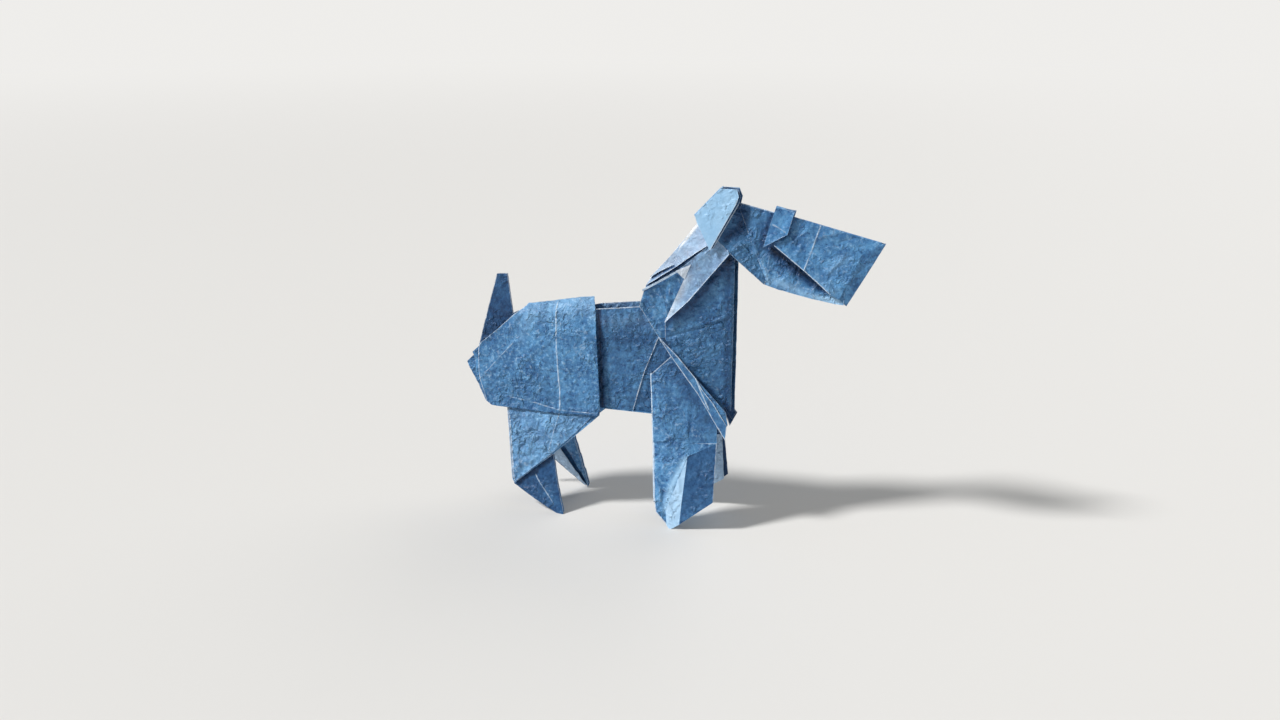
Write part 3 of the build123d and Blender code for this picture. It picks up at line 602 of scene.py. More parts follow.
def chest_walls():
    """Flat wall up to the bend, then a quarter curl toward the middle: in plan a curve of second order from the
    bend to the tip, through the bow halfway. Each point stands out by the crinkle, which fades to less than a third
    at the tip, and by the bells."""
    bend_x, bow_out, curl_stretch, fading = 17.3, np.array([0.30, -0.22]), 1.1, 0.7
    for side, tip in ((NEAR, np.array([18.5, -0.9])), (FAR, np.array([18.9, -1.3]))):
        bend = np.array([bend_x, float(y_on(CHEST, bend_x, 0))])
        bow = (bend + tip) / 2 + bow_out
        end = bend_x + float(np.linalg.norm(tip - bend)) * curl_stretch
        grid, lines = patch([(2.3, 47.6), (5.4, 42.4), (9.6, 37.2), (bend_x, 30.8), (end, 29.9)],
                            [(2.2, 52.8), (7.0, 60.0), (15.0, 70.0), (bend_x, 70.5), (end, 70.7)],
                            [(2.3, 47.6), (2.2, 52.8)], [(end, 29.9), (end, 70.7)])
        run, z = grid[..., 0], grid[..., 1]
        share = np.clip((run - bend_x) / (end - bend_x), 0, 1)[..., None]
        curl = (1 - share) ** 2 * bend + 2 * share * (1 - share) * (2 * bow - (bend + tip) / 2) + share**2 * tip
        x = np.where(run > bend_x, curl[..., 0], run)
        y = np.where(run > bend_x, curl[..., 1], y_on(CHEST, run, z))
        base = np.stack([x, y, z], axis=-1)
        normal = np.cross(np.gradient(base, axis=1), np.gradient(base, axis=0))
        normal /= np.maximum(np.linalg.norm(normal, axis=-1, keepdims=True), 1e-9)
        normal = np.where(normal[..., 1:2] > 0, -normal, normal)
        valley = distance_to(run, z, [[(3.2, 48.2), (7.6, 49.8), (12.2, 51.4), (16.8, 53.0)]])
        ridge = distance_to(run, z, [[(7.8, 50.7), (12.2, 52.2), (16.4, 53.7)], [(14.3, 63.5), (15.9, 57.6)],
                                     [(12.1, 59.8), (13.0, 57.0)]])
        lift = crinkle(run, z, side) * (1 - fading * share[..., 0]) + bell(valley, -0.20, 0.38) + bell(ridge, 0.12, 0.5)
        front = base + lift[..., None] * normal
        mirror = np.array([1.0, -side, 1.0])
        edge = distance_to(run, z, [lines[2]]) + 0.04
        # Painted shade: the chest is darker than the dye, darker under the cheek and toward the curl at the front, and
        # near black along the strip's lower edge and along the slit above the pleats, as painted shadows.
        dye_and_shading = beside(run, z, 0.64, [([(12.0, 64.0), (17.5, 69.5)], -0.18, 5.0),
                                     ([(bend_x, 31.0), (bend_x, 68.0)], -0.55, 2.0),
                                     ([(3.0, 52.4), (8.8, 57.0), (17.6, 68.4)], -0.9, 2.2),
                                     ([(10.6, 37.8), (17.6, 31.2)], -0.6, 1.0)])
        keep("chest_walls", front * mirror, (front - PLY * normal) * mirror, edge, ridge + 0.22, dye_and_shading)


def shoulders():
    """Shoulder panel as a patch, and the pale cut plies along its upper edge as a thin patch further out."""
    panel = patch([(0.7, 47.9), (2.4, 47.9), (6.0, 44.6), (8.0, 50.0)],
                  [(-2.9, 59.9), (0.6, 62.2), (5.3, 65.0), (6.8, 63.1), (8.0, 62.0)],
                  [(0.7, 47.9), (-4.1, 55.6), (-2.9, 59.9)], [(8.0, 50.0), (8.0, 62.0)])
    # Painted shadow: darker under the plies along the top edge, and slightly darker toward the front.
    lay("shoulders", SHOULDER, panel, dye_and_shading=0.92, worn=[[(-2.9, 59.9), (-4.1, 55.6), (0.7, 47.9)]], rim=-0.05,
        ridges=[[(0.7, 60.8), (1.7, 57.4), (2.7, 55.6)], [(3.4, 62.0), (3.1, 58.9), (2.4, 54.0)],
                [(-1.6, 57.6), (0.2, 54.2)]],
        valleys=[[(2.1, 60.6), (2.3, 58.0)], [(-0.4, 58.6), (0.8, 55.8)]],
        painted_shading=[([(-3.0, 60.0), (0.6, 62.2), (5.2, 65.0)], -0.6, 1.6), ([(4.5, 55.0), (5.5, 62.0)], -0.15, 3.0)])
    plies = patch([(-3.1, 59.5), (0.7, 61.7), (5.2, 64.5)], [(-3.2, 60.0), (0.6, 62.15), (5.1, 64.9)])
    lay("shoulders", inward(SHOULDER, -0.5), plies, dye_and_shading=1.6, white_and_highlight=0.4)


def neck():
    """Three layers of the neck as patches on parallel planes, a step apart, closed over the nape by a crest. The
    diagonal strip lies outside them and its lower edge is flared."""
    nape = [(-3.3, 60.2), (-2.3, 62.2), (2.9, 68.0), (8.9, 75.7), (13.0, 80.9)]
    gap_line = [(-3.1, 60.1), (0.2, 62.3), (4.5, 65.3), (8.3, 68.2), (11.8, 70.8)]
    low = patch([(-2.4, 55.8), (1.6, 56.4), (4.0, 58.8), (6.6, 64.0), (12.6, 70.2)], nape,
                [(-2.4, 55.8), (-3.8, 58.9), (-3.3, 60.2)], [(12.6, 70.2), (13.0, 80.9)])
    # Painted shadow in the slit under the upper layer: darker and less white along the gap.
    lay("neck_layers", NECK, low, white_and_highlight=0.25, painted_shading=[(gap_line, -1.3, 0.9)], painted_highlight=[(gap_line, -0.4, 1.4)])
    high = patch(gap_line, [(-2.9, 60.8), (2.9, 68.0), (8.9, 75.7), (13.0, 80.9)], None,
                 [(11.8, 70.8), (12.6, 71.4), (13.0, 80.9)])
    wedge_line = [(-2.3, 62.1), (0.6, 64.0), (3.9, 65.9)]
    under_wedge = [(-1.8, 62.0), (0.9, 63.7), (3.9, 65.4)]
    # Painted shadow under the wedge, darker and less white, and a painted highlight along the nape.
    lay("neck_layers", inward(NECK, -STEP), high, dye_and_shading=1.1, white_and_highlight=0.30, flare=[(gap_line, 0.5, 2.0)], worn=[gap_line],
        crush=0.6, painted_shading=[(under_wedge, -1.6, 0.9)],
        painted_highlight=[(under_wedge, -0.4, 1.0), ([(2.4, 67.6), (8.5, 75.5), (13.0, 81.2)], 2.4, 1.3)])
    wedge = patch(wedge_line, [(-2.0, 62.5), (2.9, 68.0), (8.9, 75.7)])
    lay("neck_layers", inward(NECK, -2 * STEP), wedge, dye_and_shading=1.15, white_and_highlight=0.34, worn=[wedge_line], crush=0.6,
        flare=[(wedge_line, 0.4, 1.5), ([(3.9, 65.9), (8.9, 75.7)], -0.45, 3.5)])
    # The crest is pale and whitened: worn white of the fold together with a painted highlight along the nape.
    crest("neck_layers", nape, 0.60, dye_and_shading=1.6, white_and_highlight=0.75, wear=0.0)
    lower = [(2.4, 52.2), (8.1, 57.9), (17.4, 69.5)]
    left_edge = [(2.3, 52.3), (6.9, 63.2)]
    strip = patch(lower, left_edge + [(5.4, 65.0), (11.9, 70.8), (16.1, 73.0)])
    # Painted highlight: the strip is whiter toward its left edge.
    lay("neck_strips", STRIP, strip, flare=[(lower, 0.95, 3.5)], dye_and_shading=1.1, white_and_highlight=0.15, worn=[lower], crush=0.8,
        painted_highlight=[(left_edge, 0.45, 3.0)], ridges=[[(10.2, 68.2), (14.2, 71.0)], [(8.6, 61.5), (12.5, 66.0)]],
        valleys=[[(13.2, 68.0), (14.6, 70.8)]])
    reverse = patch([(4.9, 64.7), (6.9, 62.9)], [(5.0, 64.9), (8.4, 66.6)])
    lay("neck_strips", inward(STRIP, -0.06), reverse, dye_and_shading=1.5, white_and_highlight=0.7, ply=0.15)


def head():
    """Cheek and jaw as patches on two planes that meet in the fold, the jaw's plane through three points, closed
    over the top by a crest."""
    fold = [(26.1, 63.6), (21.8, 73.6), (18.7, 81.3)]
    jaw = facet(at(CHEEK, fold[0]), at(CHEEK, fold[2]), (18.8, -2.43, 68.5))
    front = patch([(25.7, 62.5), (29.2, 61.5), (36.6, 60.0), (42.3, 59.0), (44.5, 58.9)],
                  [fold[2], (44.6, 75.5)], [(25.7, 62.5)] + fold, [(44.5, 58.9), (44.6, 75.5)])
    under_muzzle = [(30.5, 69.5), (35.0, 66.0), (41.3, 61.0)]
    ear_shade = ([(19.2, 80.8), (20.2, 78.0), (19.6, 75.4), (16.5, 73.4)], -0.95, 3.6)
    # Painted shade and light: the cheek is darker than the dye, with painted shadows under the muzzle's hem, from the
    # ear and along the brow's left edge, a darker patch below the ear, and lighter toward the bottom and along the
    # crease as painted light.
    lay("head", CHEEK, front, dye_and_shading=0.74, flare=[(under_muzzle, -0.9, 5.0)], crush=1.2,
        ridges=[[(22.6, 73.0), (24.7, 68.3), (26.2, 64.6), (26.9, 62.4)], [(27.3, 71.1), (26.6, 68.9), (26.4, 66.7)],
                [(31.0, 64.6), (32.4, 66.2)], [(36.8, 61.6), (38.3, 63.4)], [(39.8, 61.0), (41.2, 61.9)]],
        valleys=[[(29.2, 68.6), (30.2, 66.6)], [(33.0, 65.6), (33.6, 63.8)]],
        painted_shading=[([(27.0, 71.2), (31.0, 68.1), (35.3, 64.9), (39.8, 61.8)], -1.5, 3.0), ear_shade,
               ([(28.5, 63.4), (35.0, 61.2), (42.5, 59.6)], 0.85, 4.2),
               ([(24.3, 79.0), (24.6, 74.5), (22.6, 71.0)], -0.3, 4.0),
               ([(39.0, 60.3), (43.2, 59.5)], 0.9, 2.3), ([(25.2, 67.4), (26.3, 64.4), (26.7, 62.6)], 0.55, 1.5),
               ([(27.2, 80.4), (26.0, 76.8), (24.7, 71.6)], -0.8, 1.5)])
    rear = patch([(13.4, 73.7), (18.8, 68.5), (25.7, 62.5)], [(14.6, 81.0), fold[2]],
                 [(13.4, 73.7), (12.6, 76.5), (14.6, 81.0)], [(25.7, 62.5)] + fold)
    # Painted shade: the jaw is darker than the dye, with the ear's painted shadow.
    lay("head", jaw, rear, dye_and_shading=0.64, worn=[rear[1][0]], rim=-0.08, painted_shading=[ear_shade], crush=1.2,
        ridges=[[(19.0, 70.6), (20.6, 71.8)]])
    crest("head", [(14.6, 81.4), (18.7, 81.45), (44.6, 75.6)], 0.30, rise=0.2, drop=0.2, dye_and_shading=1.2, white_and_highlight=0.15, wear=0.0)


def muzzle():
    """Wrapped muzzle as a patch, with the nose bent in on two planes that meet the bend and a point near the middle,
    and the brow flap outside it. Crests close both over the top."""
    nose, chin, middle = (53.1, 73.6), (45.1, 58.6), (49.2, 66.2)
    high, bend, low = (52.6, 73.65), (47.9, 70.9), (43.4, 60.2)
    edge_point = (middle[0], -0.3, middle[1])
    hem_line = [(27.8, 71.9), (35.0, 66.5), (41.3, 61.4)]
    wrap = patch(hem_line + [low], [(27.4, 79.7), high], None, [low, bend, high])
    # Painted shade and light: darker and lighter patches on the wrap, and a painted shadow beside the brow's bottom and
    # right edges.
    lay("muzzle", MUZZLE, wrap, creases=[[(38.3, 77.3), (36.5, 71.4), (35.0, 66.6)]], dye_and_shading=0.98, faint=0.03, crush=0.65,
        worn=[hem_line], rim=0.04, rubbed=FAR_OFF, flare=[(hem_line, 0.8, 5.0)],
        ridges=[[(31.5, 72.5), (34.8, 75.6)], [(41.0, 67.0), (43.8, 69.9)], [(38.8, 74.9), (41.6, 75.2)],
                [(33.0, 70.2), (33.9, 71.8)]],
        valleys=[[(32.2, 73.8), (34.4, 75.9)], [(43.0, 73.6), (45.8, 74.5)]],
        painted_shading=[([(32.5, 73.6), (37.2, 76.3)], -0.25, 2.4), ([(37.8, 73.9), (45.6, 74.4)], -0.18, 2.2),
               ([(40.9, 66.9), (44.1, 69.8)], 0.25, 3.0), ([(37.5, 64.8), (42.0, 61.8)], 0.25, 3.0),
               ([(26.4, 72.2), (30.9, 74.7)], -0.7, 1.1), ([(30.9, 74.7), (32.4, 79.8)], -0.6, 0.9)])
    upper = facet(at(MUZZLE, high), at(MUZZLE, bend), edge_point)
    lower = facet(at(MUZZLE, bend), at(MUZZLE, low), edge_point)
    tip = patch([bend, middle], [high, nose])
    # Painted shade: the bent-in nose facets are darker than the dye.
    lay("muzzle", upper, tip, dye_and_shading=0.70, rubbed=FAR_OFF, worn=[[middle, nose]], rim=-0.12, crush=0.7)
    foot = patch([low, chin], [bend, middle])
    lay("muzzle", lower, foot, dye_and_shading=0.72, rubbed=FAR_OFF, worn=[[chin, middle]], rim=-0.12, crush=0.7)
    crest("muzzle", [(27.4, 79.75), (52.2, 73.9)], 0.52, rise=0.28)
    flap = patch([(25.3, 71.5), (30.8, 74.7)], [(27.8, 80.9), (32.2, 79.9)],
                 [(25.3, 71.5), (26.7, 77.1), (27.8, 80.9)], [(30.8, 74.7), (32.2, 79.9)])
    lay("brow", BROW, flap, creases=[[(27.2, 76.8), (28.7, 76.1), (30.2, 75.2)]], dye_and_shading=0.95, faint=0.04, crush=0.5,
        flare=[([(25.3, 71.5), (30.8, 74.7), (32.2, 79.9)], 0.7, 3.5)],
        painted_shading=[([(28.2, 79.8), (31.0, 79.4)], -0.15, 2.5)])
    crest("brow", [(27.8, 80.95), (32.2, 79.95)], 0.74, rise=0.35)


def ears():
    """Ear and its lining as patches on parallel planes with a hem over the back edge, the poll between the ears as
    one flat patch, and a small cap over it whose height is a cosine of y."""
    outer = patch([(13.1, 70.4), (18.7, 81.3), (19.2, 82.9)], [(9.0, 78.2), (14.9, 84.6)],
                  [(13.1, 70.4), (11.4, 73.4), (9.6, 76.6), (9.0, 78.2)], [(19.2, 82.9), (18.7, 84.6), (14.9, 84.6)])
    # Painted light and sheen: the ear is pale.
    lay("ears", EAR, outer, dye_and_shading=2.0, worn=[[(13.1, 70.4), (18.7, 81.3), (19.2, 82.9)]], crush=0.40,
        creases=[[(14.9, 84.2), (18.6, 84.3)]], faint=0.2)
    lining = inward(EAR, 0.70)
    inner = patch([(13.6, 70.6), (19.1, 80.9), (19.5, 82.7)], [(9.0, 78.2), (14.9, 84.6)], None,
                  [(19.5, 82.7), (18.9, 84.5), (14.9, 84.6)])
    # Painted shade: the lining is darker than the dye.
    lay("ears", lining, inner, dye_and_shading=0.35, worn=[[(13.6, 70.6), (19.1, 80.9)]], rim=0.04)
    hem("ears", [(9.0, 78.2), (14.9, 84.6)], EAR, lining, 0.30, dye_and_shading=1.6)
    poll = patch([(9.5, 75.5), (14.0, 73.0), (18.5, 76.0), (19.6, 80.9)], [(9.6, 75.8), (15.0, 84.2), (17.4, 84.2)],
                 None, [(19.6, 80.9), (17.4, 81.9), (17.4, 84.2)])
    # Painted shade: the poll is a near-black patch that stands for the shade between the ears.
    lay("ears", near_side(0.35), poll, (NEAR,), dye_and_shading=0.05, ply=0.7)
    cap_z, cap_dip = 84.35, 0.35
    x, y = np.meshgrid(np.linspace(14.9, 18.8, 14), np.linspace(-1.0, 1.0, 9))
    cap = np.stack([x, y, cap_z - cap_dip * np.cos(y * pi / 2)], axis=-1)
    keep("ears", cap, cap - np.array([0, 0, PLY]), FAR_OFF, FAR_OFF, 0.6)


def tail_and_rump():
    """Tail, its root that runs on inside the sleeve up to the ridge, and the two rump layers, as flat patches over
    the dog's middle. Each is as thick as its pressed plies."""
    tail = patch([(-48.0, 38.0), (-44.0, 34.0), (-38.0, 44.0)], [(-43.0, 60.0), (-40.2, 60.2)],
                 [(-48.0, 38.0), (-48.9, 40.7), (-43.0, 60.0)], [(-38.0, 44.0), (-39.0, 50.0), (-40.2, 60.2)])
    lay("tail", near_side(0.30), tail, (NEAR,), dye_and_shading=0.10, ply=0.6, worn=[[(-48.9, 40.7), (-43.0, 60.0)]], crush=0.7,
        painted_shading=[([(-42.0, 59.0), (-41.5, 56.0)], 0.12, 4.0)])
    under_ridge = [(x, ridge_at(x) - 0.4) for x in (-33.0, -29.5)]
    root = patch([(-38.6, 43.8), (-29.5, 49.0)], [(-39.4, 49.8), (-36.5, 51.2)] + under_ridge)
    lay("tail", near_side(0.28), root, (NEAR,), dye_and_shading=0.2, ply=0.56, crush=0.6)
    near = patch([(-47.1, 25.8), (-44.0, 27.5)], [(-50.6, 38.7), (-47.5, 41.6), (-44.0, 38.0)],
                 [(-47.1, 25.8), (-49.3, 31.2), (-50.2, 37.9), (-50.6, 38.7)], [(-44.0, 27.5), (-44.0, 38.0)])
    lay("rump_layers", near_side(0.80), near, (NEAR,), dye_and_shading=0.95, ply=0.45)
    far = patch([(-47.7, 25.3), (-44.0, 27.0)], [(-52.8, 35.6), (-51.2, 37.2), (-50.6, 37.6), (-44.0, 38.5)],
                [(-47.7, 25.3), (-49.9, 30.3), (-52.8, 35.6)], [(-44.0, 27.0), (-44.0, 38.5)])
    lay("rump_layers", near_side(-0.20), far, (NEAR,), dye_and_shading=0.85, ply=0.45)


for make in (rump_sleeve, body_walls, hind_legs, front_legs, pleats, chest_walls, shoulders, neck, head, muzzle,
             ears, tail_and_rump):
    make()


# ---- Paper finish ---------------------------------------------------------------------------

DYE_DARK, DYE_LIGHT = (0.047, 0.168, 0.378, 1), (0.100, 0.294, 0.562, 1)  # clouds in the dye
SPECK_DARK, SPECK_LIGHT = (0.020, 0.076, 0.215, 1), (0.29, 0.55, 0.81, 1)
FIBRE_COLOUR = (0.30, 0.46, 0.64, 1)
SHADE_DARK, SHADE_LIGHT, SHADE_BLACK = (0.009, 0.040, 0.120, 1), (0.022, 0.085, 0.215, 1), (0.003, 0.011, 0.032, 1)
# Pale colours: the paler paper, and painted light and sheen on panels that face the light.
PALE_SHEEN_DARK, PALE_SHEEN_LIGHT = (0.30, 0.54, 0.80, 1), (0.36, 0.60, 0.85, 1)
# Bare white of the paper, also used for painted highlights.
WHITE_AND_HIGHLIGHT = (0.80, 0.84, 0.88, 1)
# Worn colours of edges and folds, and flecks that are both wear and painted glints on the sharpest wrinkles.
WORN_EDGE, WORN_FOLD, FLECK_WEAR_AND_GLINT = (0.66, 0.76, 0.88, 1), (0.60, 0.74, 0.88, 1), (0.52, 0.68, 0.85, 1)
PAPER_SHINE = 0.28
RELIEF_M = 0.0008  # height in metres of a bump of one
CLOUD_MM, SPECK_MM, FIBRE_MM, RUB_MM = 4.5, 0.95, 0.22, 1.6
WRINKLE_MM, SPOT_MM, PATCH_MM = 2.6, 1.9, 8.0
SHARP_ANGLE = 50  # degrees between faces from which an edge stays sharp
WELD = 1e-6  # metres within which points are one


def node(tree, kind, inputs=None, **settings):
    """A node with its settings, and with each input linked where its value is a socket, or else set."""
    made = tree.nodes.new(kind)
    for name, value in settings.items():
        setattr(made, name, value)
    for name, value in (inputs or {}).items():
        if isinstance(value, bpy.types.NodeSocket):
            tree.links.new(value, made.inputs[name])
        else:
            made.inputs[name].default_value = value
    return made


def calc(tree, operation, first, second=0.0, clamp=False):
    """The result of one sum on two numbers or sockets, kept between 0 and 1 where clamp is set."""
    made = tree.nodes.new("ShaderNodeMath")
    made.operation, made.use_clamp = operation, clamp
    for socket, value in zip(made.inputs, (first, second)):
        if isinstance(value, bpy.types.NodeSocket):
            tree.links.new(value, socket)
        else:
            socket.default_value = value
    return made.outputs[0]


def noise(tree, place, size_mm, detail=2.0, rough=0.5, twist=0.0):
    """Noise with cells of a given size in mm, read from object coordinates: its scale is 1000 over the size."""
    made = node(tree, "ShaderNodeTexNoise", {"Vector": place, "Scale": 1000.0 / size_mm, "Detail": detail,
                                             "Roughness": rough, "Distortion": twist})
    return made.outputs["Fac"]


def band(tree, value, start, end, low=0.0, high=1.0):
    """Low where the value is at start, high where it is at end, and a smooth step between."""
    made = node(tree, "ShaderNodeMapRange", {"Value": value, "From Min": start, "From Max": end, "To Min": low,
                                             "To Max": high}, interpolation_type="SMOOTHSTEP")
    return made.outputs["Result"]


def tone(tree, share, first, second):
    """Mix of two colours: the first times one less the share, plus the second times the share."""
    made = tree.nodes.new("ShaderNodeMix")
    made.data_type = "RGBA"
    for socket, value in ((made.inputs["Factor"], share), (made.inputs[6], first), (made.inputs[7], second)):
        if isinstance(value, bpy.types.NodeSocket):
            tree.links.new(value, socket)
        else:
            socket.default_value = value
    return made.outputs[2]


def blue_paper():
    """Crinkled blue paper. Colour: cloudy dye with light and dark specks and fibres, mixed by the tint from painted
    shade at 0, near black below it for painted contact shadows, to dye at 1 and pale at 2, which is the paler paper
    and painted light and sheen, then by the chalk toward bare white and painted highlights, then toward the worn
    colours where the edge or crease distance plus a little noise is small, and on flecks along the sharpest
    wrinkles, which are wear and painted glints. Relief: the size of a noise about its middle, taken negative so
    that its zero lines stand up, plus specks and spots, all times a patchy noise and the crush, plus fibres and
    fold lines."""
    material = bpy.data.materials.new("crinkled_blue_paper")
    material.use_nodes = True
    tree = material.node_tree
    tree.nodes.clear()
    place = tree.nodes.new("ShaderNodeTexCoord").outputs["Object"]
    edge, crease, dye_and_shading, white_and_highlight, crush = [node(tree, "ShaderNodeAttribute", attribute_name=mark).outputs["Fac"]
                                        for mark in MARKS]
    # Light specks and flecks fade where the tint puts painted shade.
    lively = calc(tree, "MULTIPLY", band(tree, dye_and_shading, 0.35, 1.05, 0.15, 1.0), calc(tree, "MULTIPLY", crush, 1.0, True))
    cloud = noise(tree, place, CLOUD_MM, 3.0, 0.6)
    speck = noise(tree, place, SPECK_MM, 4.0, 0.70)
    fibre = noise(tree, place, FIBRE_MM, 2.0, 0.6)
    dye = tone(tree, band(tree, cloud, 0.36, 0.64), DYE_DARK, DYE_LIGHT)
    bright = calc(tree, "MULTIPLY", band(tree, speck, 0.50, 0.74, 0.0, 0.92), lively)
    dye = tone(tree, bright, dye, SPECK_LIGHT)
    dye = tone(tree, band(tree, speck, 0.49, 0.29, 0.0, 0.95), dye, SPECK_DARK)
    dye = tone(tree, band(tree, fibre, 0.55, 0.80, 0.0, 0.25), dye, FIBRE_COLOUR)
    # Painted shade: the colour that the dye turns toward at a low tint, down to near black for painted contact shadows.
    painted_shade_colour = tone(tree, band(tree, speck, 0.35, 0.70), SHADE_DARK, SHADE_LIGHT)
    painted_shade_colour = tone(tree, band(tree, dye_and_shading, -0.9, 0.0), SHADE_BLACK, painted_shade_colour)
    dyed_and_shaded = tone(tree, calc(tree, "MULTIPLY", dye_and_shading, 1.0, True), painted_shade_colour, dye)
    # Pale paper and painted light: above 1 the tint mixes toward pale blue.
    pale_and_sheen = calc(tree, "SUBTRACT", dye_and_shading, 1.0, True)
    dyed_and_shaded = tone(tree, pale_and_sheen, dyed_and_shaded, tone(tree, band(tree, cloud, 0.3, 0.7), PALE_SHEEN_DARK, PALE_SHEEN_LIGHT))
    # Bare white of the paper together with painted highlights.
    dyed_and_shaded = tone(tree, calc(tree, "MULTIPLY", white_and_highlight, 1.0, True), dyed_and_shaded, WHITE_AND_HIGHLIGHT)
    rub = noise(tree, place, RUB_MM, 2.0, 0.6)
    wear = band(tree, calc(tree, "ADD", edge, calc(tree, "MULTIPLY", rub, 0.40)), 0.46, 0.16, 0.0, 0.85)
    line = band(tree, calc(tree, "ADD", crease, calc(tree, "MULTIPLY", rub, 0.30)), 0.44, 0.16, 0.0, 0.85)
    colour = tone(tree, wear, dyed_and_shaded, WORN_EDGE)
    colour = tone(tree, line, colour, WORN_FOLD)
    gloss = band(tree, speck, 0.3, 0.7, 0.30, 0.44)
    wrinkle = noise(tree, place, WRINKLE_MM, 3.0, 0.50, 0.5)
    sharp = calc(tree, "ABSOLUTE", calc(tree, "SUBTRACT", wrinkle, 0.5))
    spots = band(tree, noise(tree, place, SPOT_MM, 1.5, 0.5), 0.54, 0.70)
    height = calc(tree, "ADD", calc(tree, "MULTIPLY", sharp, -1.7), calc(tree, "MULTIPLY", speck, 0.30))
    height = calc(tree, "ADD", height, calc(tree, "MULTIPLY", spots, 0.34))
    patchy = band(tree, noise(tree, place, PATCH_MM, 1.0, 0.5), 0.40, 0.60, 0.40, 1.35)
    height = calc(tree, "MULTIPLY", height, calc(tree, "MULTIPLY", patchy, calc(tree, "MINIMUM", crush, 1.4)))
    height = calc(tree, "ADD", height, calc(tree, "MULTIPLY", fibre, 0.05))
    height = calc(tree, "ADD", height, calc(tree, "MULTIPLY", line, 0.10))
    # Flecks on the sharpest wrinkles: wear together with painted glints.
    fleck_wear_and_glint = calc(tree, "MULTIPLY", band(tree, sharp, 0.035, 0.005), band(tree, rub, 0.52, 0.66))
    fleck_wear_and_glint = calc(tree, "MULTIPLY", fleck_wear_and_glint, calc(tree, "MULTIPLY", lively, 0.38))
    colour = tone(tree, fleck_wear_and_glint, colour, FLECK_WEAR_AND_GLINT)
    bump = node(tree, "ShaderNodeBump", {"Height": height, "Strength": 1.0, "Distance": RELIEF_M})
    skin = node(tree, "ShaderNodeBsdfPrincipled", {"Base Color": colour, "Roughness": gloss,
                                                   "Normal": bump.outputs["Normal"]})
    skin.inputs["Specular IOR Level"].default_value = PAPER_SHINE
    out = tree.nodes.new("ShaderNodeOutputMaterial")
    tree.links.new(skin.outputs["BSDF"], out.inputs["Surface"])
    return material


PAPER = blue_paper()


def build(name, layers):
    """One mesh of all the sheets of a piece, with its marks kept on the points: the sheets' points one after the
    other, and their quads counted on by the points before them."""
    points, quads, marks, start = [], [], [[] for _ in MARKS], 0
    for some_points, some_quads, some_marks in layers:
        points.append(some_points)
        quads.append(some_quads + start)
        for store, mark in zip(marks, some_marks):
            store.append(mark)
        start += len(some_points)
    points, quads = np.concatenate(points) * MM, np.concatenate(quads).astype(np.int32)
    mesh = bpy.data.meshes.new(name)
    mesh.vertices.add(len(points))
    mesh.vertices.foreach_set("co", points.astype(np.float32).ravel())
    mesh.loops.add(quads.size)
    mesh.loops.foreach_set("vertex_index", quads.ravel())
    mesh.polygons.add(len(quads))
    mesh.polygons.foreach_set("loop_start", np.arange(0, quads.size, 4, dtype=np.int32))
    mesh.update(calc_edges=True)
    for label, store in zip(MARKS, marks):
        layer = mesh.attributes.new(label, "FLOAT", "POINT")
        layer.data.foreach_set("value", np.concatenate(store).astype(np.float32))
    work = bmesh.new()
    work.from_mesh(mesh)
    bmesh.ops.remove_doubles(work, verts=work.verts, dist=WELD)
    work.to_mesh(mesh)
    work.free()
    mesh.polygons.foreach_set("use_smooth", np.ones(len(mesh.polygons), dtype=bool))
    mesh.set_sharp_from_angle(angle=radians(SHARP_ANGLE))
    mesh.materials.append(PAPER)
    piece = bpy.data.objects.new(name, mesh)
    bpy.context.scene.collection.objects.link(piece)
    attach(piece, "root")
    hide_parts("folded_paper_dog")


for name, layers in sheets.items():
    build(name, layers)


# ---- Floor, light and camera ----------------------------------------------------------------

ROOM_COLOUR = (0.86, 0.85, 0.83, 1)
FLOOR_COLOUR, FLOOR_ROUGHNESS = (0.71, 0.70, 0.68, 1), 0.7
FLOOR_REACH, FLOOR_POINTS = 4.0, 9  # metres from the middle to a side, and points along a side
FADE_START, FADE_END = 0.40, 1.9  # metres from the dog between which the floor fades into the room
LAMP_COLOUR, LAMP_TARGET = (1.0, 0.99, 0.98), (0.0, 0.0, 0.04)
# Each lamp's name, strength, width in degrees and the place that it shines from
LAMPS = (("window", 3.5, 9, (-0.62, -0.36, 0.74)), ("soft_fill", 0.9, 60, (0.35, 0.75, 0.50)))
SKY_COLOUR, SKY_STRENGTH = (0.95, 0.98, 1.0, 1), 0.25  # even light from all round
LENS_MM, SENSOR_MM, NEAREST = 32.34, 36.0, 0.01
CAMERA_PLACE, CAMERA_TARGET = (0.0746, -0.2610, 0.1292), (-0.0052, 0.0, 0.0405)


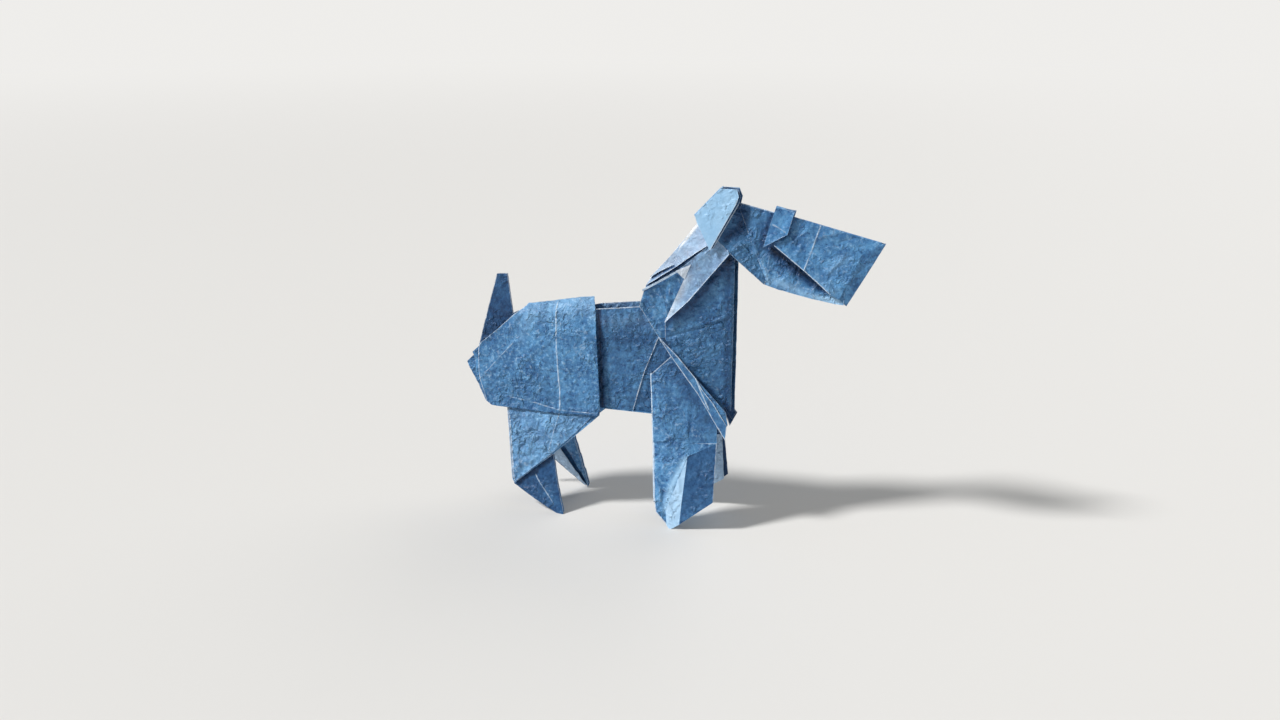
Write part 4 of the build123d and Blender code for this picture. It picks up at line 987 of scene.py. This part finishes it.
def pale_floor():
    """Level square grid round the dog, at z = 0. Seen by the camera it fades with the distance from the dog, by a
    smooth step, into the pale room behind it."""
    stops = np.linspace(-FLOOR_REACH, FLOOR_REACH, FLOOR_POINTS)
    across, along_y = np.meshgrid(stops, stops)
    index = np.arange(FLOOR_POINTS**2).reshape(FLOOR_POINTS, FLOOR_POINTS)
    faces = np.stack([index[:-1, :-1], index[:-1, 1:], index[1:, 1:], index[1:, :-1]], -1).reshape(-1, 4)
    mesh = bpy.data.meshes.new("pale_floor")
    mesh.from_pydata(np.stack([across, along_y, 0 * across], -1).reshape(-1, 3).tolist(), [], faces.tolist())
    material = bpy.data.materials.new("pale_floor")
    material.use_nodes = True
    tree = material.node_tree
    shader = tree.nodes["Principled BSDF"]
    shader.inputs["Base Color"].default_value = FLOOR_COLOUR
    shader.inputs["Roughness"].default_value = FLOOR_ROUGHNESS
    place = tree.nodes.new("ShaderNodeTexCoord").outputs["Object"]
    reach = node(tree, "ShaderNodeVectorMath", {0: place}, operation="LENGTH").outputs["Value"]
    seen = tree.nodes.new("ShaderNodeLightPath").outputs["Is Camera Ray"]
    fade = calc(tree, "MULTIPLY", band(tree, reach, FADE_START, FADE_END), seen)
    glow = node(tree, "ShaderNodeEmission", {"Color": ROOM_COLOUR, "Strength": 1.0})
    both = node(tree, "ShaderNodeMixShader", {0: fade, 1: shader.outputs["BSDF"], 2: glow.outputs["Emission"]})
    tree.links.new(both.outputs[0], tree.nodes["Material Output"].inputs["Surface"])
    mesh.materials.append(material)
    floor = bpy.data.objects.new("pale_floor", mesh)
    bpy.context.scene.collection.objects.link(floor)


def aim(thing, place, target):
    """Put a lamp or the camera at a place, turned so that its -Z looks at the target and its Y is up."""
    thing.location = place
    thing.rotation_euler = (Vector(target) - Vector(place)).to_track_quat("-Z", "Y").to_euler()
    bpy.context.scene.collection.objects.link(thing)


pale_floor()
for name, strength, width, place in LAMPS:
    lamp = bpy.data.lights.new(name, "SUN")
    lamp.energy, lamp.angle, lamp.color = strength, radians(width), LAMP_COLOUR
    aim(bpy.data.objects.new(name, lamp), place, LAMP_TARGET)

world = bpy.data.worlds.new("room")
world.use_nodes = True
room = world.node_tree
sky = room.nodes["Background"]
sky.inputs["Color"].default_value = SKY_COLOUR
sky.inputs["Strength"].default_value = SKY_STRENGTH
backdrop = node(room, "ShaderNodeBackground", {"Color": ROOM_COLOUR, "Strength": 1.0})
choice = node(room, "ShaderNodeMixShader", {0: room.nodes.new("ShaderNodeLightPath").outputs["Is Camera Ray"],
                                            1: sky.outputs[0], 2: backdrop.outputs[0]})
room.links.new(choice.outputs[0], room.nodes["World Output"].inputs["Surface"])
bpy.context.scene.world = world

camera = bpy.data.cameras.new("camera")
camera.lens, camera.sensor_width, camera.sensor_fit = LENS_MM, SENSOR_MM, "HORIZONTAL"
camera.clip_start = NEAREST
camera_object = bpy.data.objects.new("camera", camera)
aim(camera_object, CAMERA_PLACE, CAMERA_TARGET)
bpy.context.scene.camera = camera_object
bpy.context.scene.view_settings.view_transform = "Standard"
